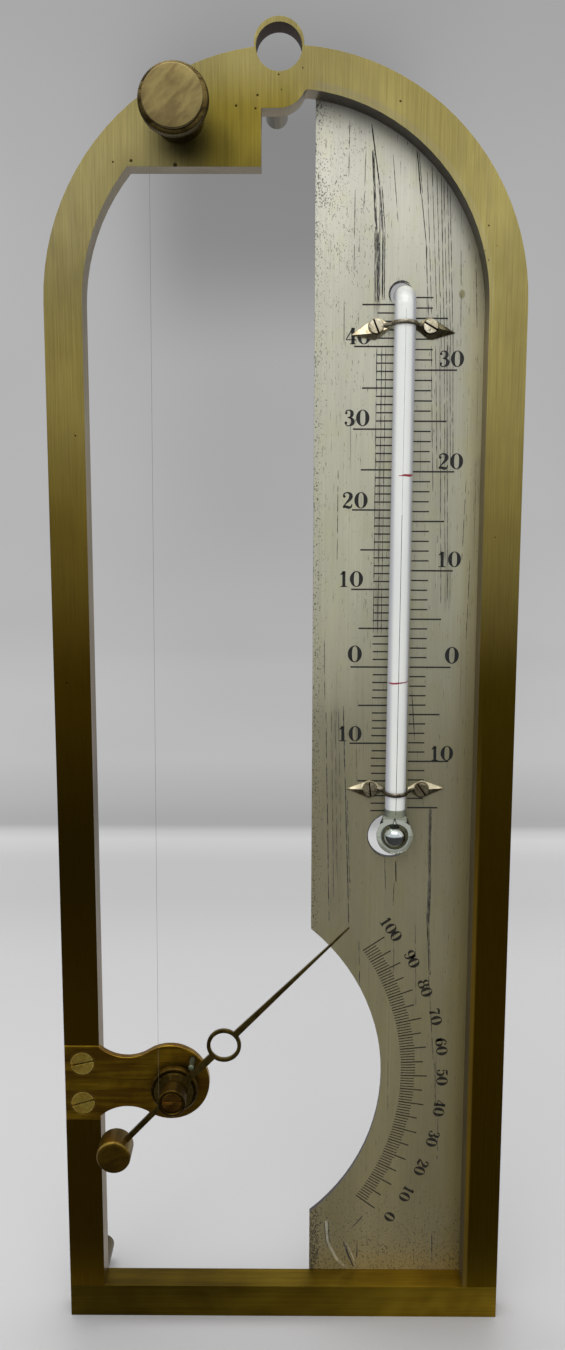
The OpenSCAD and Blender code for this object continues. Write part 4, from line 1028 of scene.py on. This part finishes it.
def scratch_plate():
    """A fine scratch is a row of tapered dashes that wander a little, a broad one several of them side by side."""
    ink = Ink(0.02)
    rng = random.Random(11)
    for x0, z0, x1, z1, broad, kept in SCRATCHES:
        size = abs(z1 - z0)
        strands = 1 if broad < 0.125 else 2 + int(broad / 0.07)
        half = max(broad * 1.3, 0.085 if z0 > -100 else 0.065) if strands == 1 else 0.09
        for _ in range(strands):
            offset = rng.uniform(-1.9, 1.9) * broad if strands > 1 else 0
            z, wander = 0.0, 0.0
            while z < size - 0.3:
                dash = min(rng.uniform(5.0, 24.0) * kept, size - z)
                line = []
                steps = max(3, int(dash / 0.7))
                for i in range(steps + 1):
                    s = (z + dash * i / steps) / size
                    wander += rng.uniform(-0.012, 0.012) - 0.12 * wander
                    swell = min(1.0, 0.3 + 5.0 * min(i, steps - i) / steps)
                    line.append((x0 + (x1 - x0) * s + wander + offset, z0 + (z1 - z0) * s,
                                 half * swell * rng.uniform(0.6, 1.15)))
                ink.ribbon(line)
                z += dash + rng.uniform(0.0, 3.5) * (1 - kept)
    # Short marks in loose patches, most of them at the upper left
    for _ in range(46):
        x0, z0 = rng.uniform(8.6, 24), 42 - 62 * rng.random() ** 1.3
        for _ in range(rng.randint(3, 9)):
            x, z = x0 + rng.gauss(0, 1.4), z0 + rng.gauss(0, 1.8)
            if x < PLATE_LEFT + 0.5 or math.hypot(x, max(z, 0)) > ARCH_LIMIT + 0.5:
                continue
            length, lean = rng.uniform(0.15, 0.9), rng.uniform(-0.5, 0.5)
            half = rng.uniform(0.03, 0.07)
            tick(ink, x, z, length, lean, half, 0.5, 0.4)
    for _ in range(120):
        x, z = rng.uniform(8.2, 48.5), 30 - 190 * rng.random() ** 1.4
        if (math.hypot(x, max(z, 0)) > ARCH_LIMIT or math.dist((x, z), HUB) < HUB_LIMIT
                or abs(x - TUBE[0]) < STEM_LIMIT):
            continue
        length, lean, half = rng.uniform(0.4, 3.0), rng.uniform(-0.04, 0.04), rng.uniform(0.025, 0.045)
        tick(ink, x, z, length, lean, half, 0.4, 0.3)
    ink.piece("plate_scratches", M_SCRATCH_AND_SHADE)


scratch_plate()

# Painted shade along the edges of the holes, where they show beside the glass
edges = Ink(0.03)
for centre, r, start, end, half in (((TUBE[0] - 0.4, 2.5), 2.95, 55, 215, 0.24),
                                    ((TUBE[0] - 1.2, BULB_Z - 0.8), 6.0, 95, 262, 0.12)):
    edges.ribbon([(*polar(r + half, math.radians(start + (end - start) * i / 30), centre),
                   half * min(1.0, 0.25 + 4 * min(i, 30 - i) / 30)) for i in range(31)])
edges.piece("hole_edge_shade", M_SCRATCH_AND_SHADE)

# A hook-shaped dent at the foot of the plate, drawn flat: painted highlight on its floor, painted shade along its
# edges. Lines are (x, z, half width).
DENT_HIGHLIGHT = [
    [(12.1, -252.6, 0.42), (12.3, -256.4, 0.3), (12.7, -259.2, 0.32), (13.9, -262.0, 0.38), (15.5, -264.8, 0.4),
     (17.4, -266.5, 0.3), (18.3, -267.1, 0.12)],
    [(20.5, -266.7, 0.1), (19.9, -264.1, 0.16), (18.6, -261.0, 0.16), (17.7, -259.4, 0.08)]]
DENT_SHADE = [
    [(17.0, -259.0, 0.1), (18.1, -262.3, 0.24), (19.3, -265.2, 0.22), (19.9, -266.8, 0.12)],
    [(12.75, -252.9, 0.08), (12.85, -256.8, 0.1), (13.3, -259.6, 0.08)],
    [(11.5, -252.9, 0.05), (11.9, -257.6, 0.08), (12.6, -260.9, 0.05)],
    [(20.9, -258.5, 0.05), (20.95, -262.3, 0.14), (20.7, -264.0, 0.05)],
    [(19.3, -254.7, 0.05), (20.9, -252.9, 0.13), (22.4, -250.9, 0.1)]]
for name, lines, proud, material, slot in (("dent_highlight", DENT_HIGHLIGHT, 0.05, M_DENT_HIGHLIGHT, "silvered_brass"),
                                           ("dent_shade", DENT_SHADE, 0.04, M_SCRATCH_AND_SHADE, None)):
    dent = Ink(proud)
    for line in lines:
        dent.ribbon(spline(line, False, 5))
    dent.piece(name, material, slot=slot)


# ---------------------------------------------------------------- camera, stage, light

camera = add_object("camera", bpy.data.cameras.new("camera"))
lens = camera.data
lens.sensor_fit = "VERTICAL"
lens.sensor_height = 36
lens.lens = 32.424
lens.shift_x = -0.00329
lens.shift_y = -0.01335
lens.clip_start = 0.01
lens.clip_end = 20
camera.location = (0.003511, -0.313122, -0.098646)
camera.rotation_euler = (1.414076, -0.002430, 0.004477)
bpy.context.scene.camera = camera
bpy.context.scene.view_settings.view_transform = "Standard"

FLOOR_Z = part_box("base_bar")[0].z
FOLD_Y = 0.453
WALL_Y = 1.7
CURVE_R = 0.5
# Greys of the paper, by the distance along it from below the object's middle in metres: a painted highlight and
# painted shade across a fold at FOLD_Y, and darker further up the wall
PAPER_GREYS = [(-0.5, 199), (0.05, 198), (0.114, 198), (0.202, 197), (0.328, 194), (0.396, 200), (0.436, 216),
               (FOLD_Y, 206), (0.462, 180), (0.480, 178), (0.53, 186), (0.65, 197), (0.9, 193), (1.2, 184),
               (1.5, 182), (1.7, 178), (2.2, 176), (2.45, 170), (2.63, 166)]


def paper_sweep():
    """A floor that sweeps up into a wall."""
    line = [(-2.5, 0.0), (FOLD_Y, 0.0), (0.9, 0.0)]
    for i in range(1, 13):
        a = math.pi / 2 * i / 12
        line.append((WALL_Y - CURVE_R + CURVE_R * math.sin(a), CURVE_R - CURVE_R * math.cos(a)))
    line.append((WALL_Y, 3.0))
    mesh = bpy.data.meshes.new("sweep")
    mesh.from_pydata([(x, y, FLOOR_Z + z) for y, z in line for x in (-3, 3)], [],
                     [[2 * i, 2 * i + 1, 2 * i + 3, 2 * i + 2] for i in range(len(line) - 1)])
    mesh.shade_smooth()
    mesh.materials.append(paper())
    add_object("sweep", mesh)


def paper():
    """Pale paper. Its far part shows at its own colour to the camera, to metal and through glass."""
    material = bpy.data.materials.new("paper")
    material.use_nodes = True
    g = Nodes(material.node_tree)
    place = g.add("TexCoord").outputs["Object"]
    x, y, z = g.parts(place)
    rise = g.minus(z, FLOOR_Z)
    greys = [(along, rgb(grey, grey, grey + 1)) for along, grey in PAPER_GREYS]
    colour = g.ramp(g.plus(y, rise), greys, 3.5, "LINEAR")
    crumple = g.named(g.add("TexNoise"), Vector=place, Scale=1.6, Detail=2)
    # Painted shadow: the paper is a little darker behind the middle of the object
    level = g.mul(g.vary(crumple, 0.95, 1.05), g.band(g.size(x), 0.05, 0.4, 0.90, 1.02))
    # The object's own shade on the paper: before its base, and high on the wall behind the arch
    for shift, across, up, down, height, depth in (
            (-0.003, (0.066, 0.052), (-0.085, -0.03), (0.03, 0.0), y, 0.13),
            (0.03, (0.27, 0.11), (0.38, 0.60), (0.97, 0.74), rise, 0.32)):
        shade = g.mul(g.band(g.size(g.plus(x, shift)), *across), g.band(height, *up), g.band(height, *down))
        level = g.mul(level, g.math("MULTIPLY_ADD", shade, -depth, 1.0))
    colour = g.times(colour, level)
    ray = g.add("LightPath").outputs
    seen = g.most(g.most(ray["Is Camera Ray"], ray["Is Glossy Ray"]), ray["Is Transmission Ray"])
    shown = g.add("MixShader", g.mul(seen, g.band(y, 0.25, 0.45, smooth=False)),
                  g.add("BsdfDiffuse", colour).outputs[0], g.add("Emission", colour).outputs[0])
    # Metal sees a dark room before the object, not the paper
    unlit = g.mul(g.band(y, -0.03, -0.008, 1.0, 0.0, False), ray["Is Glossy Ray"])
    room = g.add("Emission", (0.075, 0.072, 0.07, 1))
    g.add("OutputMaterial", g.add("MixShader", unlit, shown.outputs[0], room.outputs[0]).outputs[0])
    return material


def world_light(level):
    """Even light for dull surfaces; metal sees a bright ceiling and a dark room below eye level."""
    world = bpy.data.worlds.new("studio")
    bpy.context.scene.world = world
    world.use_nodes = True
    g = Nodes(world.node_tree)
    up = g.parts(g.add("TexCoord").outputs["Generated"])[2]
    stops = ((-1, 0.10), (-0.28, 0.05), (-0.14, 0.10), (0.0, 0.62), (0.16, 1.0), (0.6, 1.1), (1, 1.1))
    room = g.ramp(up, [(z, (v, v, v * 1.01, 1)) for z, v in stops], kind="LINEAR")
    ray = g.add("LightPath").outputs
    pale = g.mix(ray["Is Camera Ray"], (level, level, level, 1), rgb(184, 184, 186))
    g.add("OutputWorld", g.add("Background", g.mix(ray["Is Glossy Ray"], pale, room)).outputs[0])


def softbox(name, place, aim, power):
    light = bpy.data.lights.new(name, "AREA")
    light.shape = "RECTANGLE"
    light.size, light.size_y = 1.2, 0.9
    light.energy = power
    lamp = add_object(name, light)
    lamp.location = place
    lamp.rotation_euler = (Vector(aim) - Vector(place)).to_track_quat("-Z", "Y").to_euler()


paper_sweep()
world_light(0.72)
softbox("ceiling", (-0.06, 0.3, 1.1), (0, 0, -0.15), 11)
softbox("window", (-0.08, -0.85, 0.8), (0, 0, -0.12), 6)
